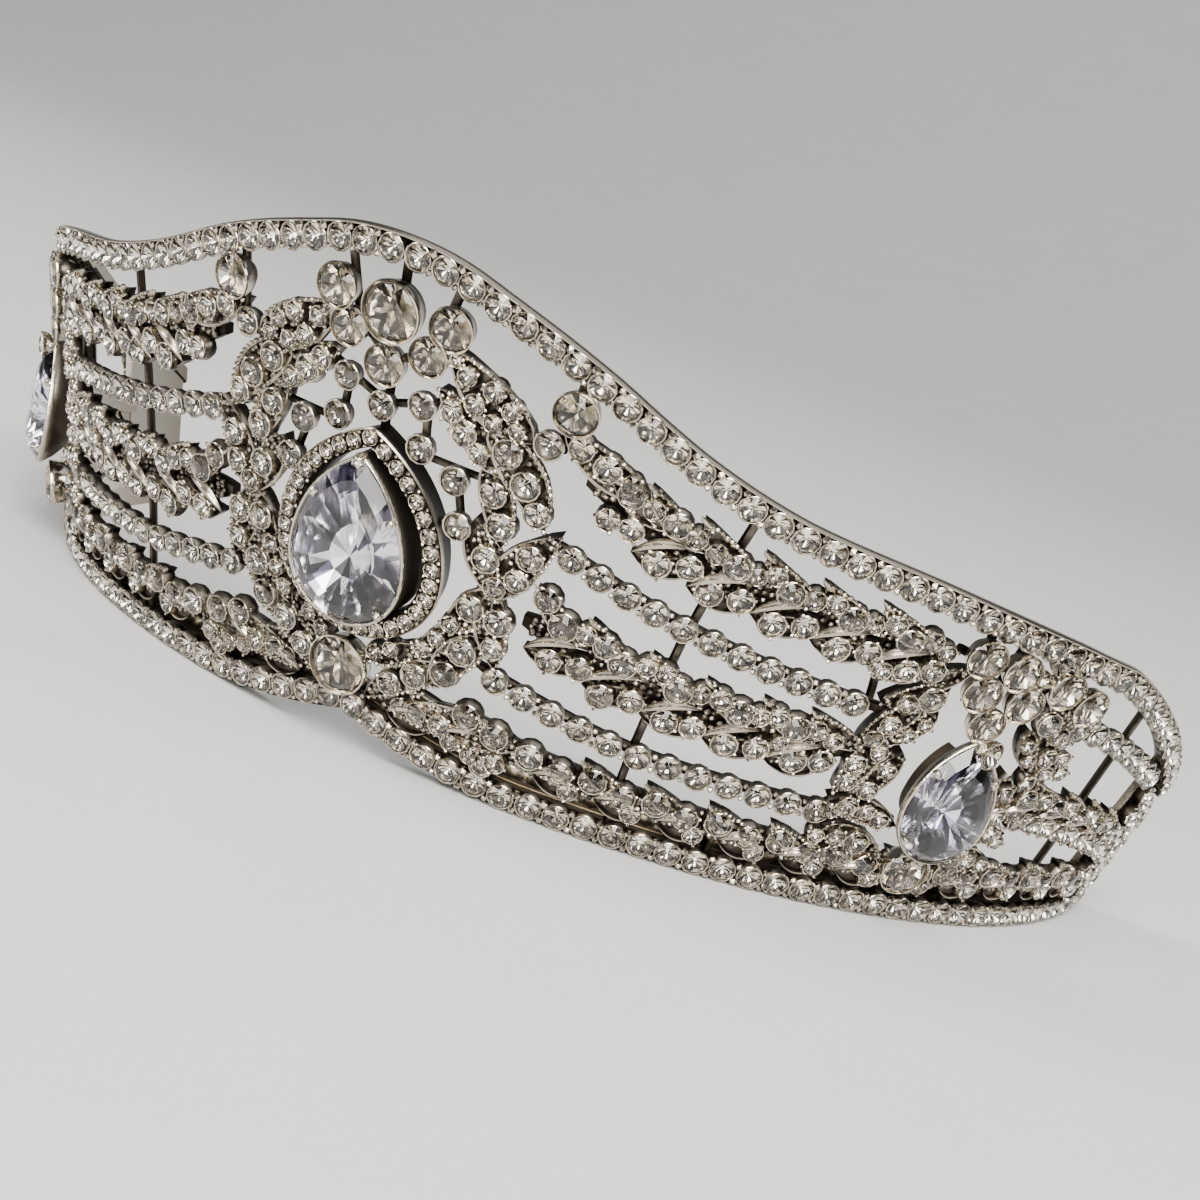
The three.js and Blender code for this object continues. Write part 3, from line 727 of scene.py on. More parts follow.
class Sheet:
    """Parts of one finish laid out flat, then bent on to the wall as one piece."""

    bar_step: float = 1.2
    pinched: float = 0.12
    rod_sides: int = 6
    swell: float = 0.7

    def __init__(self, wall: Wall, mirrored: bool = True) -> None:
        """Starts an empty sheet.

        Args:
            wall: The wall that it is bent on.
            mirrored: Whether a left-hand half is mirrored from what is laid out.
        """
        self.wall = wall
        self.mirrored = mirrored
        self.bm = bmesh.new()
        # Keeps each stone's facet numbers, which pick their painted reflections.
        self.bm.faces.layers.float.new("facet")
        self.set_stones: list[Place] = []

    def stamp(self, shape: bpy.types.Mesh, matrix: Matrix) -> None:
        """Adds a copy of a shape.

        Args:
            shape: The shape.
            matrix: Its place on the sheet.
        """
        first = len(self.bm.verts)
        self.bm.from_mesh(shape)
        self.bm.verts.ensure_lookup_table()
        bmesh.ops.transform(self.bm, matrix=matrix, verts=self.bm.verts[first:])

    def spot(self, s: float, h: float, d: float, size: Sequence[float], turn: float = 0.0) -> Matrix:
        """Place of a small part that stays round once it is bent.

        Args:
            s: Its arc.
            h: Its height.
            d: Its distance from the face.
            size: Its scale across, up and out.
            turn: Its turn about its own axis, in radians.

        Returns:
            The matrix on the sheet.
        """
        round_again = Matrix.Diagonal((1 / self.wall.stretch(s, h), 1.0, 1.0, 1.0))
        scale = Matrix.Diagonal((*size, 1.0))
        return Matrix.Translation((s, h, d)) @ round_again @ Matrix.Rotation(turn, 4, "Z") @ scale

    def loft(self, along: int, around: int, place: Callable[[float, float], Vector]) -> None:
        """Adds a closed skin.

        Args:
            along: Steps from end to end.
            around: Steps round the section.
            place: Takes shares along and around, and gives the point of the skin.
        """
        bm = bmesh.new()
        bmesh.ops.create_grid(bm, x_segments=along, y_segments=around, size=0.5)
        for vert in bm.verts:
            turn = vert.co.y + 0.5
            vert.co = place(vert.co.x + 0.5, 0.0 if turn > SEAM else turn)
        bmesh.ops.remove_doubles(bm, verts=bm.verts[:], dist=2e-4)
        rim = [edge for edge in bm.edges if edge.is_boundary]
        if rim:
            bmesh.ops.holes_fill(bm, edges=rim, sides=0)
        bmesh.ops.recalc_face_normals(bm, faces=bm.faces[:])
        skin = kept(bm, "skin")
        self.bm.from_mesh(skin)
        bpy.data.meshes.remove(skin)

    def bar(self, line: Callable[[float], float], start: float, end: float, section: Section,
            pinch: float = 0.0) -> None:
        """Adds a long bar that follows a line.

        Args:
            line: Height of the bar at an arc.
            start: Arc of one end.
            end: Arc of the other.
            section: Height above the line and distance from the face of each corner.
            pinch: Length over which each end narrows to a point, if it does.
        """

        def corner(u: float, v: float) -> Vector:
            """A corner of the bar.

            Args:
                u: Share of the way along.
                v: Share of the way round the section.

            Returns:
                The corner on the sheet.
            """
            s = start + (end - start) * u
            rise, d = corner_at(section, v)
            share = min(1.0, self.pinched + min(s - start, end - s) / pinch) if pinch else 1.0
            return Vector((s, line(s) + rise * math.sqrt(share), d))

        self.loft(max(2, round((end - start) / self.bar_step)), len(section), corner)

    def ring(self, cut: PearCut, section: Section, height: float, steps: int) -> None:
        """Adds a ring round a pear's outline.

        Args:
            cut: The pear.
            section: Distance outside the outline and from the face of each corner.
            height: Height of the pear's middle.
            steps: Steps round it.
        """

        def skin(u: float, v: float) -> Vector:
            """A point of the ring's skin.

            Args:
                u: Share of the way round the pear.
                v: Share of the way round the section.

            Returns:
                The point on the sheet.
            """
            offset, d = corner_at(section, v)
            rim = cut.edge(0.0 if u > SEAM else u, offset)
            return Vector((rim.x, rim.y + height, d))

        self.loft(steps, len(section), skin)

    def rod(self, path: Sequence[Place], radius: float, steps: int, taper: float = 0.0) -> None:
        """Adds a round rod along a bowed path.

        Args:
            path: Start, bowing point and end.
            radius: Its thickest radius.
            steps: Steps along it.
            taper: 0 keeps it even, 1 brings both ends to a point.
        """
        start, middle, end = (Vector(point) for point in path)
        run = (end - start).to_2d()
        across = Vector((-run.y, run.x, 0.0)).normalized()

        def skin(u: float, v: float) -> Vector:
            """A point of the rod's skin.

            Args:
                u: Share of the way along.
                v: Share of the way round.

            Returns:
                The point on the sheet.
            """
            centre = start * (1 - u) ** 2 + middle * 2 * u * (1 - u) + end * u * u
            thick = radius * (1 - taper + taper * max(math.sin(math.pi * u), 0.0) ** self.swell)
            angle = 2 * math.pi * v
            return centre + across * thick * math.cos(angle) + Vector((0, 0, thick * math.sin(angle)))

        self.loft(steps, self.rod_sides, skin)

    def strut(self, start: Spot, end: Spot, depth: float, radius: float, steps: int) -> None:
        """Adds a straight rod.

        Args:
            start: Arc and height of one end.
            end: Arc and height of the other.
            depth: Distance of its axis from the face.
            radius: Its radius.
            steps: Steps along it.
        """
        (s0, h0), (s1, h1) = start, end
        self.rod(((s0, h0, depth), ((s0 + s1) / 2, (h0 + h1) / 2, depth), (s1, h1, depth)), radius, steps)

    def unfold(self) -> None:
        """Adds the left-hand half and joins both halves on the middle line."""
        caps = [face for face in self.bm.faces if all(abs(vert.co.x) < ON_MIDDLE for vert in face.verts)]
        bmesh.ops.delete(self.bm, geom=caps, context="FACES_ONLY")
        whole = self.bm.verts[:] + self.bm.edges[:] + self.bm.faces[:]
        copy = bmesh.ops.duplicate(self.bm, geom=whole)["geom"]
        bmesh.ops.scale(self.bm, vec=(-1, 1, 1), verts=[e for e in copy if isinstance(e, bmesh.types.BMVert)])
        bmesh.ops.reverse_faces(self.bm, faces=[e for e in copy if isinstance(e, bmesh.types.BMFace)])
        middle = [vert for vert in self.bm.verts if abs(vert.co.x) < ON_MIDDLE]
        bmesh.ops.remove_doubles(self.bm, verts=middle, dist=ON_MIDDLE)

    def piece(self, name: str, materials: Sequence[bpy.types.Material], slot: Slot, smooth: float = METAL_EDGE,
              datum: float = 0.0, unshaded_tops: bool = False) -> bpy.types.Object:
        """Bends the sheet and makes it a finished piece.

        Args:
            name: Name of the piece.
            materials: Its materials, by index.
            slot: The record's slot that it stands in.
            smooth: Degrees past which an edge stays sharp, 0 for facets.
            datum: Distance of its own face from the wall's, from which its tarnish and painted shade are measured.
            unshaded_tops: Whether its walls that face up are also kept bright, out of the painted hollow shade.

        Returns:
            The piece.
        """
        if self.mirrored:
            self.unfold()
        mesh = kept(self.bm, name)
        flat = np.empty(len(mesh.vertices) * 3)
        mesh.vertices.foreach_get("co", flat)
        flat = flat.reshape(-1, 3)
        facing = np.empty(len(mesh.polygons) * 3)
        mesh.polygons.foreach_get("normal", facing)
        # Plain walls that face back, and when asked those that face up, are kept bright and smooth, out of the painted
        # hollow shade.
        plain = facing[2::3] < -PLAIN_FACING
        if unshaded_tops:
            plain |= facing[1::3] > PLAIN_FACING
        # depth sets where the metal takes tarnish and painted shade.
        mark(mesh, "depth", "POINT", flat[:, 2] - datum)
        mark(mesh, "back", "FACE", np.where(plain, PLAIN_BRIGHTNESS_AND_POLISH, 0.0))
        mesh.vertices.foreach_set("co", self.wall.bend(flat).ravel())
        mesh.update()
        return finished(mesh, materials, slot, smooth, ("soldered_frame",))


def finished(mesh: bpy.types.Mesh, materials: Sequence[bpy.types.Material], slot: Slot, smooth: float,
             nodes: Sequence[str]) -> bpy.types.Object:
    """Makes a mesh a piece of the tiara.

    Args:
        mesh: The mesh in place, in metres.
        materials: Its materials, by index.
        slot: The record's slot that it stands in; not used.
        smooth: Degrees past which an edge stays sharp, 0 for facets.
        nodes: The CAD nodes that it stands for.

    Returns:
        The piece.
    """
    for material in materials:
        mesh.materials.append(material)
    if smooth:
        mesh.shade_smooth()
        mesh.set_sharp_from_angle(angle=math.radians(smooth))
    else:
        mesh.shade_flat()
    piece = bpy.data.objects.new(mesh.name, mesh)
    bpy.context.scene.collection.objects.link(piece)
    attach(piece, "root")
    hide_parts(*nodes)
    LOG.info("%s: %d faces", piece.name, len(mesh.polygons))
    return piece


@dataclass
class Bench:
    """What every sub-assembly is made with: the wall, the patterns, the finishes and the maker's hand."""

    wall: Wall
    patterns: Patterns
    cast: bpy.types.Material
    polished: bpy.types.Material
    walls: bpy.types.Material
    crown: bpy.types.Material
    foil: bpy.types.Material
    broad_foil: bpy.types.Material
    violet: bpy.types.Material
    violet_foil: bpy.types.Material
    chance: random.Random = field(default_factory=lambda: random.Random(HAND_SEED))
    sway: float = 0.06
    unlevel: float = 0.05
    lean: float = 0.07
    prong: float = 0.42
    scatter: float = 0.14
    grain_width: float = 0.66
    grain_room: float = 0.22

    def sheets(self, mirrored: bool = True) -> tuple[Sheet, Sheet]:
        """A sheet for metal and a sheet for its stones."""
        return Sheet(self.wall, mirrored), Sheet(self.wall, mirrored)

    def finish(self, metal: Sheet, stones: Sheet, names: tuple[str, str], datum: float = 0.0,
               unshaded_tops: bool = False) -> None:
        """Makes a sheet of cast metal and the sheet of its stones two pieces.

        Args:
            metal: Sheet of the metal.
            stones: Sheet of the stones.
            names: Names of the two pieces.
            datum: Distance of the metal's own face from the wall's, from which its tarnish and painted shade are
                measured.
            unshaded_tops: Whether its walls that face up are also kept bright, out of the painted hollow shade.
        """
        metal.piece(names[0], [self.cast], Slot.SILVER, datum=datum, unshaded_tops=unshaded_tops)
        stones.piece(names[1], [self.crown, self.foil], Slot.CLEAR, FACETS)

    def set_stone(self, metal: Sheet, stones: Sheet, s: float, h: float, width: float, lift: float, prongs: int,
                  sunk: bool = False) -> None:
        """Sets one small stone in its collet.

        Args:
            metal: Sheet of the collet.
            stones: Sheet of the stone.
            s: Arc of its middle.
            h: Height of its middle.
            width: Diameter of the stone.
            lift: Height of its girdle above the face.
            prongs: Beads of metal round its rim.
            sunk: Whether the metal rises up to its collet all round.
        """
        radius = width / 2
        collet = self.patterns.collar if sunk else self.patterns.collet
        sway = self.chance.uniform(-self.sway, self.sway)
        lift += self.chance.uniform(-self.unlevel, self.unlevel)
        metal.stamp(collet, metal.spot(s, h, lift, (radius, radius, 1.0), sway))
        turn = self.chance.uniform(0, math.pi)
        tip = Matrix.Rotation(self.chance.uniform(-self.lean, self.lean), 4, "X") @ Matrix.Rotation(
            self.chance.uniform(-self.lean, self.lean), 4, "Y")
        stones.stamp(self.patterns.chaton, stones.spot(s, h, lift + 0.04, (radius,) * 3, turn) @ tip)
        metal.set_stones.append((s, h, radius))
        reach = radius * 1.04 + 0.1
        for k in range(prongs):
            angle = turn + (k + self.chance.uniform(-0.2, 0.2)) * 2 * math.pi / prongs
            across = reach * math.cos(angle) / self.wall.stretch(s, h)
            self.grain(metal, s + across, h + reach * math.sin(angle), lift + 0.1, self.prong)

    def sink(self, metal: Sheet, stones: Sheet, spots: Stones, lift: float, spread: float = 1.1) -> None:
        """Sets small stones in collets that the metal rises up to.

        Args:
            metal: Sheet of the collets.
            stones: Sheet of the stones.
            spots: Arc, height and charted width of each.
            lift: Height of their girdles above the face.
            spread: Width as set over width as charted.
        """
        for s, h, width in spots:
            self.set_stone(metal, stones, s, h, width * spread, lift, 3, True)

    def grain(self, metal: Sheet, s: float, h: float, d: float, width: float) -> None:
        """Sets one bead of metal."""
        size = width / 2 * self.chance.uniform(0.85, 1.15)
        metal.stamp(self.patterns.bead, metal.spot(s, h, d, (size, size, size), self.chance.uniform(0, 6)))

    def grains(self, metal: Sheet, start: Place, end: Place, pitch: float, width: float) -> None:
        """Sets a line of beads.

        Args:
            metal: Sheet that takes them.
            start: One end of the line.
            end: Its other end.
            pitch: Distance between the beads.
            width: Their diameter.
        """
        a, b = Vector(start), Vector(end)
        count = max(1, round((b - a).length / pitch))
        for k in range(count):
            self.grain(metal, *a.lerp(b, (k + 0.5) / count), width)

    def granulate(self, metal: Sheet, spots: Iterable[Sequence[float]]) -> None:
        """Fills the metal between the stones with beads.

        Args:
            metal: Sheet that takes them.
            spots: Where a bead may lie.
        """
        for s, h, d in spots:
            s += self.chance.uniform(-self.scatter, self.scatter)
            h += self.chance.uniform(-self.scatter, self.scatter)
            if all(math.hypot(s - x, h - y) > radius + self.grain_room for x, y, radius in metal.set_stones):
                self.grain(metal, s, h, d + self.chance.uniform(-0.08, 0.12), self.grain_width)

    def spaced(self, line: Callable[[float], float], start: float, end: float, pitch: float) -> list[float]:
        """Arcs of stones at an even distance along the bent line.

        Args:
            line: Height of the line at an arc.
            start: Arc of the first stone.
            end: No stone lies beyond this arc.
            pitch: Distance from stone to stone.

        Returns:
            The arcs.
        """
        step = 0.1
        arcs = np.arange(start, end, step)
        points = self.wall.bend(np.array([[s, line(s), 0.0] for s in arcs]))
        run = np.concatenate([[0.0], np.cumsum(np.linalg.norm(np.diff(points, axis=0), axis=1))]) / MM
        return [float(s) for s in np.interp(np.arange(0.0, run[-1], pitch), run, arcs)]


# ---- leaves ----


@dataclass(frozen=True)
class Leaf:
    """A leaf of metal from its stalk to its pointed tip."""

    tail: Spot
    tip: Spot
    width: float
    bow: float = 0.0
    edge: float = 0.0
    hollow: float = -0.5
    back: float = -1.75
    steps: int = 9
    rim_at: float = 0.92
    ground_pitch: float = 0.72

    @property
    def length(self) -> float:
        """Length from stalk to tip."""
        return (Vector(self.tip) - Vector(self.tail)).length

    def point(self, u: float, across: float, d: float) -> Vector:
        """A point of the leaf.

        Args:
            u: Share of the way from stalk to tip.
            across: -1 to 1 from edge to edge.
            d: Distance from the face.

        Returns:
            The point on the sheet.
        """
        tail, tip = Vector((*self.tail, 0.0)), Vector((*self.tip, 0.0))
        run = tip - tail
        normal = Vector((-run.y, run.x, 0.0)).normalized()
        centre = tail.lerp(tip, u) + normal * self.bow * 4 * u * (1 - u)
        half = self.width / 2 * max(math.sin(math.pi * min(u, 1.0) ** 0.85), 0.0) ** 0.72
        spot = centre + normal * across * half
        return Vector((spot.x, spot.y, d))

    def away(self, spot: Spot) -> int:
        """Finds the edge that faces away from a spot of the sheet.

        Args:
            spot: The spot.

        Returns:
            1 or -1, as across in point().
        """
        middle = (Vector(self.tail) + Vector(self.tip)) / 2
        run = Vector(self.tip) - Vector(self.tail)
        return 1 if Vector((-run.y, run.x)).dot(middle - Vector(spot)) > 0 else -1

    def blade(self, sheet: Sheet) -> None:
        """Adds the leaf's plate, hollowed between its raised edges.

        Args:
            sheet: Sheet that takes it.
        """
        section = (
            (-0.64, self.back), (-1.0, self.edge - 0.25), (-0.95, self.edge + 0.05), (-0.8, self.edge + 0.02),
            (-0.68, self.hollow), (0.68, self.hollow), (0.8, self.edge + 0.02), (0.95, self.edge + 0.05),
            (1.0, self.edge - 0.25), (0.64, self.back),
        )
        sheet.loft(self.steps, len(section), lambda u, v: self.point(u, *corner_at(section, v)))

    def rim(self, bench: Bench, sheet: Sheet, start: float, end: float, pitch: float, width: float, side: int) -> None:
        """Adds beads along one edge.

        Args:
            bench: Makes the beads.
            sheet: Sheet that takes them.
            start: Share of the length where they start.
            end: Share of the length where they end.
            pitch: Distance between them.
            width: Their diameter.
            side: The edge that carries them, 1 or -1.
        """
        count = max(3, round(self.length * (end - start) / pitch))
        for k in range(count + 1):
            spot = self.point(start + (end - start) * k / count, side * self.rim_at, self.edge + 0.08)
            bench.grain(sheet, *spot, width)

    def ground(self) -> Iterable[Vector]:
        """Walks over its hollow between the raised edges.

        Returns:
            The spots, one after another.
        """
        along = max(3, round(self.length / self.ground_pitch))
        across = max(1, round(self.width / 2 * 0.75 / self.ground_pitch))
        for i in range(along):
            for j in range(-across, across + 1):
                yield self.point(0.06 + 0.88 * (i + 0.5) / along, 0.72 * j / across, self.hollow + 0.12)

    def pave(self, bench: Bench, metal: Sheet, stones: Sheet, spots: Stones, lift: float) -> None:
        """Sets stones in the blade.

        Args:
            bench: Sets them.
            metal: Sheet of their collets.
            stones: Sheet of the stones.
            spots: Share along, place across and diameter of each.
            lift: Height of their girdles above the face.
        """
        for u, across, width in spots:
            spot = self.point(u, across, 0.0)
            bench.set_stone(metal, stones, spot.x, spot.y, width, lift, 4, True)


# ---- rails and plain rows ----


@dataclass
class Rails:
    """The two rails that bound the design, each a channel full of stones in scalloped collets."""

    bench: Bench
    pitch: float = 2.85
    stone: float = 2.58
    lift: float = 0.05
    top_stretch: float = 1.26
    foot_start: float = 1.4
    end_room: float = 1.3
    foot_steps: int = 80
    flange: Section = (
        (-0.7, -1.9), (-0.95, -1.6), (-0.95, -1.0), (-0.8, -0.85), (1.2, -0.85), (1.3, -0.1), (1.4, 0.1),
        (1.52, 0.08), (1.6, -0.1), (1.62, -0.5), (1.4, -1.2), (1.0, -1.9),
    )
    foot_floor: Sequence[float] = (-2.15, -0.5)
    foot: Section = (
        (-1.0, -0.45), (-0.85, -0.85), (0.85, -0.85), (1.0, -0.95), (0.95, -1.5), (0.8, -1.6), (0.8, -2.15),
    )
    band: Section = ((0.6, -2.2), (0.6, -1.6), (2.58, -1.6), (2.7, -1.7), (2.7, -2.1), (2.6, -2.2))

    def build(self) -> None:
        """Builds both rails and the smooth band behind the foot rail."""
        reach = self.bench.wall.reach
        metal, stones = self.bench.sheets()
        metal.bar(TOP_LINE.at, 0.0, reach, self.flange)
        self.fill(metal, stones, TOP_LINE.at, self.pitch / 2 / self.top_stretch, (1.08, 0.86))
        self.bench.finish(metal, stones, ("top_rail", "top_rail_stones"), unshaded_tops=True)
        metal, stones = self.bench.sheets()
        self.foot_bar(metal)
        self.fill(metal, stones, FOOT_LINE.at, self.foot_start, (0.95, 0.86))
        self.bench.finish(metal, stones, ("foot_rail", "foot_rail_stones"))
        band = Sheet(self.bench.wall)
        band.bar(FOOT_LINE.at, 0.0, reach, self.band)
        band.piece("foot_band", [self.bench.polished], Slot.SILVER)

    def fill(self, metal: Sheet, stones: Sheet, line: Callable[[float], float], start: float, beads: Spot) -> None:
        """Fills a rail with stones and the beads that hold them.

        Args:
            metal: Sheet of the rail.
            stones: Sheet of its stones.
            line: Height of the stones at an arc.
            start: Arc of the first stone.
            beads: Distance of the beads above and below the line.
        """
        arcs = self.bench.spaced(line, start, self.bench.wall.reach - self.end_room, self.pitch)
        for s in arcs:
            self.bench.set_stone(metal, stones, s, line(s), self.stone, self.lift, 0)
        for s, after in zip(arcs, arcs[1:]):
            middle = (s + after) / 2
            slope = (line(after) - line(s)) / (after - s)
            for rise, width in ((beads[0], 0.86), (-beads[1], 0.74)):
                spot = middle - slope * rise * 0.8
                self.bench.grain(metal, spot, line(spot) + rise, 0.08, width)

    def foot_bar(self, metal: Sheet) -> None:
        """Adds the foot rail's bar, cut level below.

        Args:
            metal: Sheet that takes it.
        """
        lowest = len(self.foot_floor)
        count = lowest + len(self.foot)

        def corner(u: float, v: float) -> Vector:
            """A corner of the bar, the lowest ones level with the floor.

            Args:
                u: Share of the way along.
                v: Share of the way round the section.

            Returns:
                The corner on the sheet.
            """
            s = self.bench.wall.reach * u
            k = round(v * count) % count
            if k >= lowest:
                rise, d = self.foot[k - lowest]
                return Vector((s, FOOT_LINE.at(s) + rise, d))
            d = self.foot_floor[k]
            return Vector((s, FOOT_LINE.at(s) - (FOOT_LINE.height - d * math.tan(self.bench.wall.lean(s))), d))

        metal.loft(self.foot_steps, count, corner)


@dataclass
class PlainRow:
    """A single line of stones on a narrow strip."""

    line: Line
    start: float
    end: float
    first: float
    last: float
    pitch: float = 3.0
    stone: float = 2.56
    pinch: float = 1.5
    lift: float = 0.05
    bead_rise: float = 0.74
    bead: float = 0.62
    strip: Section = ((-0.4, -1.6), (-0.55, -0.9), (-0.4, -0.7), (0.4, -0.7), (0.55, -0.9), (0.4, -1.6))

    def lay(self, bench: Bench, metal: Sheet, stones: Sheet) -> None:
        """Lays out the strip, its stones and their beads.

        Args:
            bench: Sets the stones and beads.
            metal: Sheet of the strip and collets.
            stones: Sheet of the stones.
        """
        metal.bar(self.line.at, self.start, self.end, self.strip, self.pinch)
        arcs = bench.spaced(self.line.at, self.first, self.last, self.pitch)
        for s in arcs:
            bench.set_stone(metal, stones, s, self.line.at(s), self.stone, self.lift, 0)
        for s, after in zip(arcs, arcs[1:]):
            middle = (s + after) / 2
            for side in (1, -1):
                bench.grain(metal, middle, self.line.at(middle) + side * self.bead_rise, 0.02, self.bead)


@dataclass
class PlainRows:
    """All plain rows and the posts that stand behind them."""

    bench: Bench
    rows: Sequence[PlainRow] = (
        PlainRow(UPPER_ROW, 15.2, 48.6, 18.2, 46.0),
        PlainRow(LOWER_ROW, 12.2, 49.0, 14.6, 48.5, 3.05),
        PlainRow(OUTER_ROW, 62.5, 88.0, 67.4, 87.5),
    )
    posts: Links = (
        ((30.9, 38.6), (30.1, 33.0)), ((29.6, 31.0), (29.1, 26.2)), ((28.9, 25.2), (28.6, 20.0)),
        ((28.4, 16.6), (28.2, 11.8)), ((28.2, 10.6), (28.2, 6.8)), ((28.4, 5.6), (28.5, 2.0)),
        ((75.2, 29.6), (75.5, 24.4)), ((75.6, 24.0), (76.2, 15.5)), ((76.4, 14.0), (76.8, 7.0)),
        ((45.2, 27.2), (45.8, 24.0)), ((15.9, 4.2), (16.2, 2.0)), ((38.4, 4.6), (38.5, 2.2)),
        ((66.0, 5.0), (66.0, 2.2)), ((84.0, 5.2), (84.0, 2.2)),
    )

    def build(self) -> None:
        """Builds the rows and posts."""
        metal, stones = self.bench.sheets()
        for row in self.rows:
            row.lay(self.bench, metal, stones)
        for low, high in self.posts:
            metal.strut(low, high, -0.9, 0.42, 3)
        self.bench.finish(metal, stones, ("plain_rows", "plain_row_stones"))


# ---- garlands ----


@dataclass
class Garland:
    """A band of overlapping leaves, set with stones, between two lines of pointed tips."""

    line: Line
    start: float
    end: float
    upper: Stones
    lower: Stones
    veins: Links
    tips: Sequence[Spot]
    size: float = 1.0
    pinch: float = 5.0
    ground_pitch: float = 0.75

    def lay(self, bench: Bench, cast: Sheet, bright: Sheet, stones: Sheet) -> None:
        """Lays out the band.

        Args:
            bench: Sets the stones and beads.
            cast: Sheet of the leaves and collets.
            bright: Sheet of the veins.
            stones: Sheet of the stones.
        """
        k = self.size
        cast.bar(self.line.at, self.start, self.end, (
            (-1.6 * k, -1.7), (-1.9 * k, -1.0), (-1.6 * k, -0.62), (1.3 * k, -0.62), (1.6 * k, -1.0), (1.3 * k, -1.7),
        ), self.pinch)
        leaves = [self.upper_leaf(bench, cast, s, h) for s, h in self.tips]
        bench.sink(cast, stones, self.upper, 0.22, 1.12)
        for start, end in self.veins:
            self.lower_leaf(bench, cast, bright, start, end)
        bench.sink(cast, stones, self.lower, 0.26)
        bench.granulate(cast, self.ground())
        for leaf in leaves:
            bench.granulate(cast, leaf.ground())

    def ground(self) -> Iterable[Place]:
        """Walks over the band between its stones.

        Returns:
            The spots, one after another.
        """
        for s in np.arange(self.start + 1.0, self.end - 1.2, self.ground_pitch):
            narrow = math.sqrt(min(1.0, min(s - self.start, self.end - s) / self.pinch))
            for row in range(-2, 3):
                yield float(s), self.line.at(s) + row * self.ground_pitch * self.size * narrow, -0.42

    def upper_leaf(self, bench: Bench, cast: Sheet, s: float, h: float) -> Leaf:
        """Adds an upper leaf from its tip down into the band, beaded along its back.

        Args:
            bench: Makes the beads.
            cast: Sheet of the leaf.
            s: Arc of its tip.
            h: Height of its tip.

        Returns:
            The leaf.
        """
        k = self.size
        tail = (s + 5.6 * k, self.line.at(s + 5.6 * k) + 0.9 * k)
        leaf = Leaf(tail, (s, h), 2.4 * k, 0.35 * k, 0.0, -0.4, -1.4)
        leaf.blade(cast)
        leaf.rim(bench, cast, 0.25, 0.98, 0.52, 0.46, leaf.away((s + 3.0 * k, self.line.at(s) - 6.0)))
        barb = ((s + 1.2 * k, h - 0.7 * k, -0.35), (s + 0.2, h - 0.1, 0.1), (s - 0.3 * k, h + 0.4 * k, 0.0))
        cast.rod(barb, 0.3, 6, 0.9)
        return leaf

    def lower_leaf(self, bench: Bench, cast: Sheet, bright: Sheet, start: Spot, end: Spot) -> None:
        """Adds a lower leaf: a blade under its stones, a bright double vein over them.

        Args:
            bench: Makes the beads.
            cast: Sheet of the blade.
            bright: Sheet of the veins.
            start: Where the veins start.
            end: Where they end.
        """
        (s0, h0), (s1, h1) = start, end
        Leaf((s1 + 1.3, h1 - 1.1), (s0, h0), 2.5 * self.size, 0.9 * self.size, -0.1, -0.5, -1.5).blade(cast)
        middle = ((s0 + s1) / 2 - 0.4, (h0 + h1) / 2)
        for rise, lift, thick in ((1.35, 0.45, 0.34), (2.1, 0.15, 0.26)):
            top = (middle[0], middle[1] + rise * self.size, lift + 0.25)
            bright.rod(((s0, h0, 0.0), top, (s1, h1 + rise * 0.1, -0.1)), thick, 12, 0.9)
        bench.grains(cast, (s0 + 0.8, h0 - 0.2, -0.1), (s0 + 1.7, h0 + 0.1, 0.0), 0.5, 0.42)


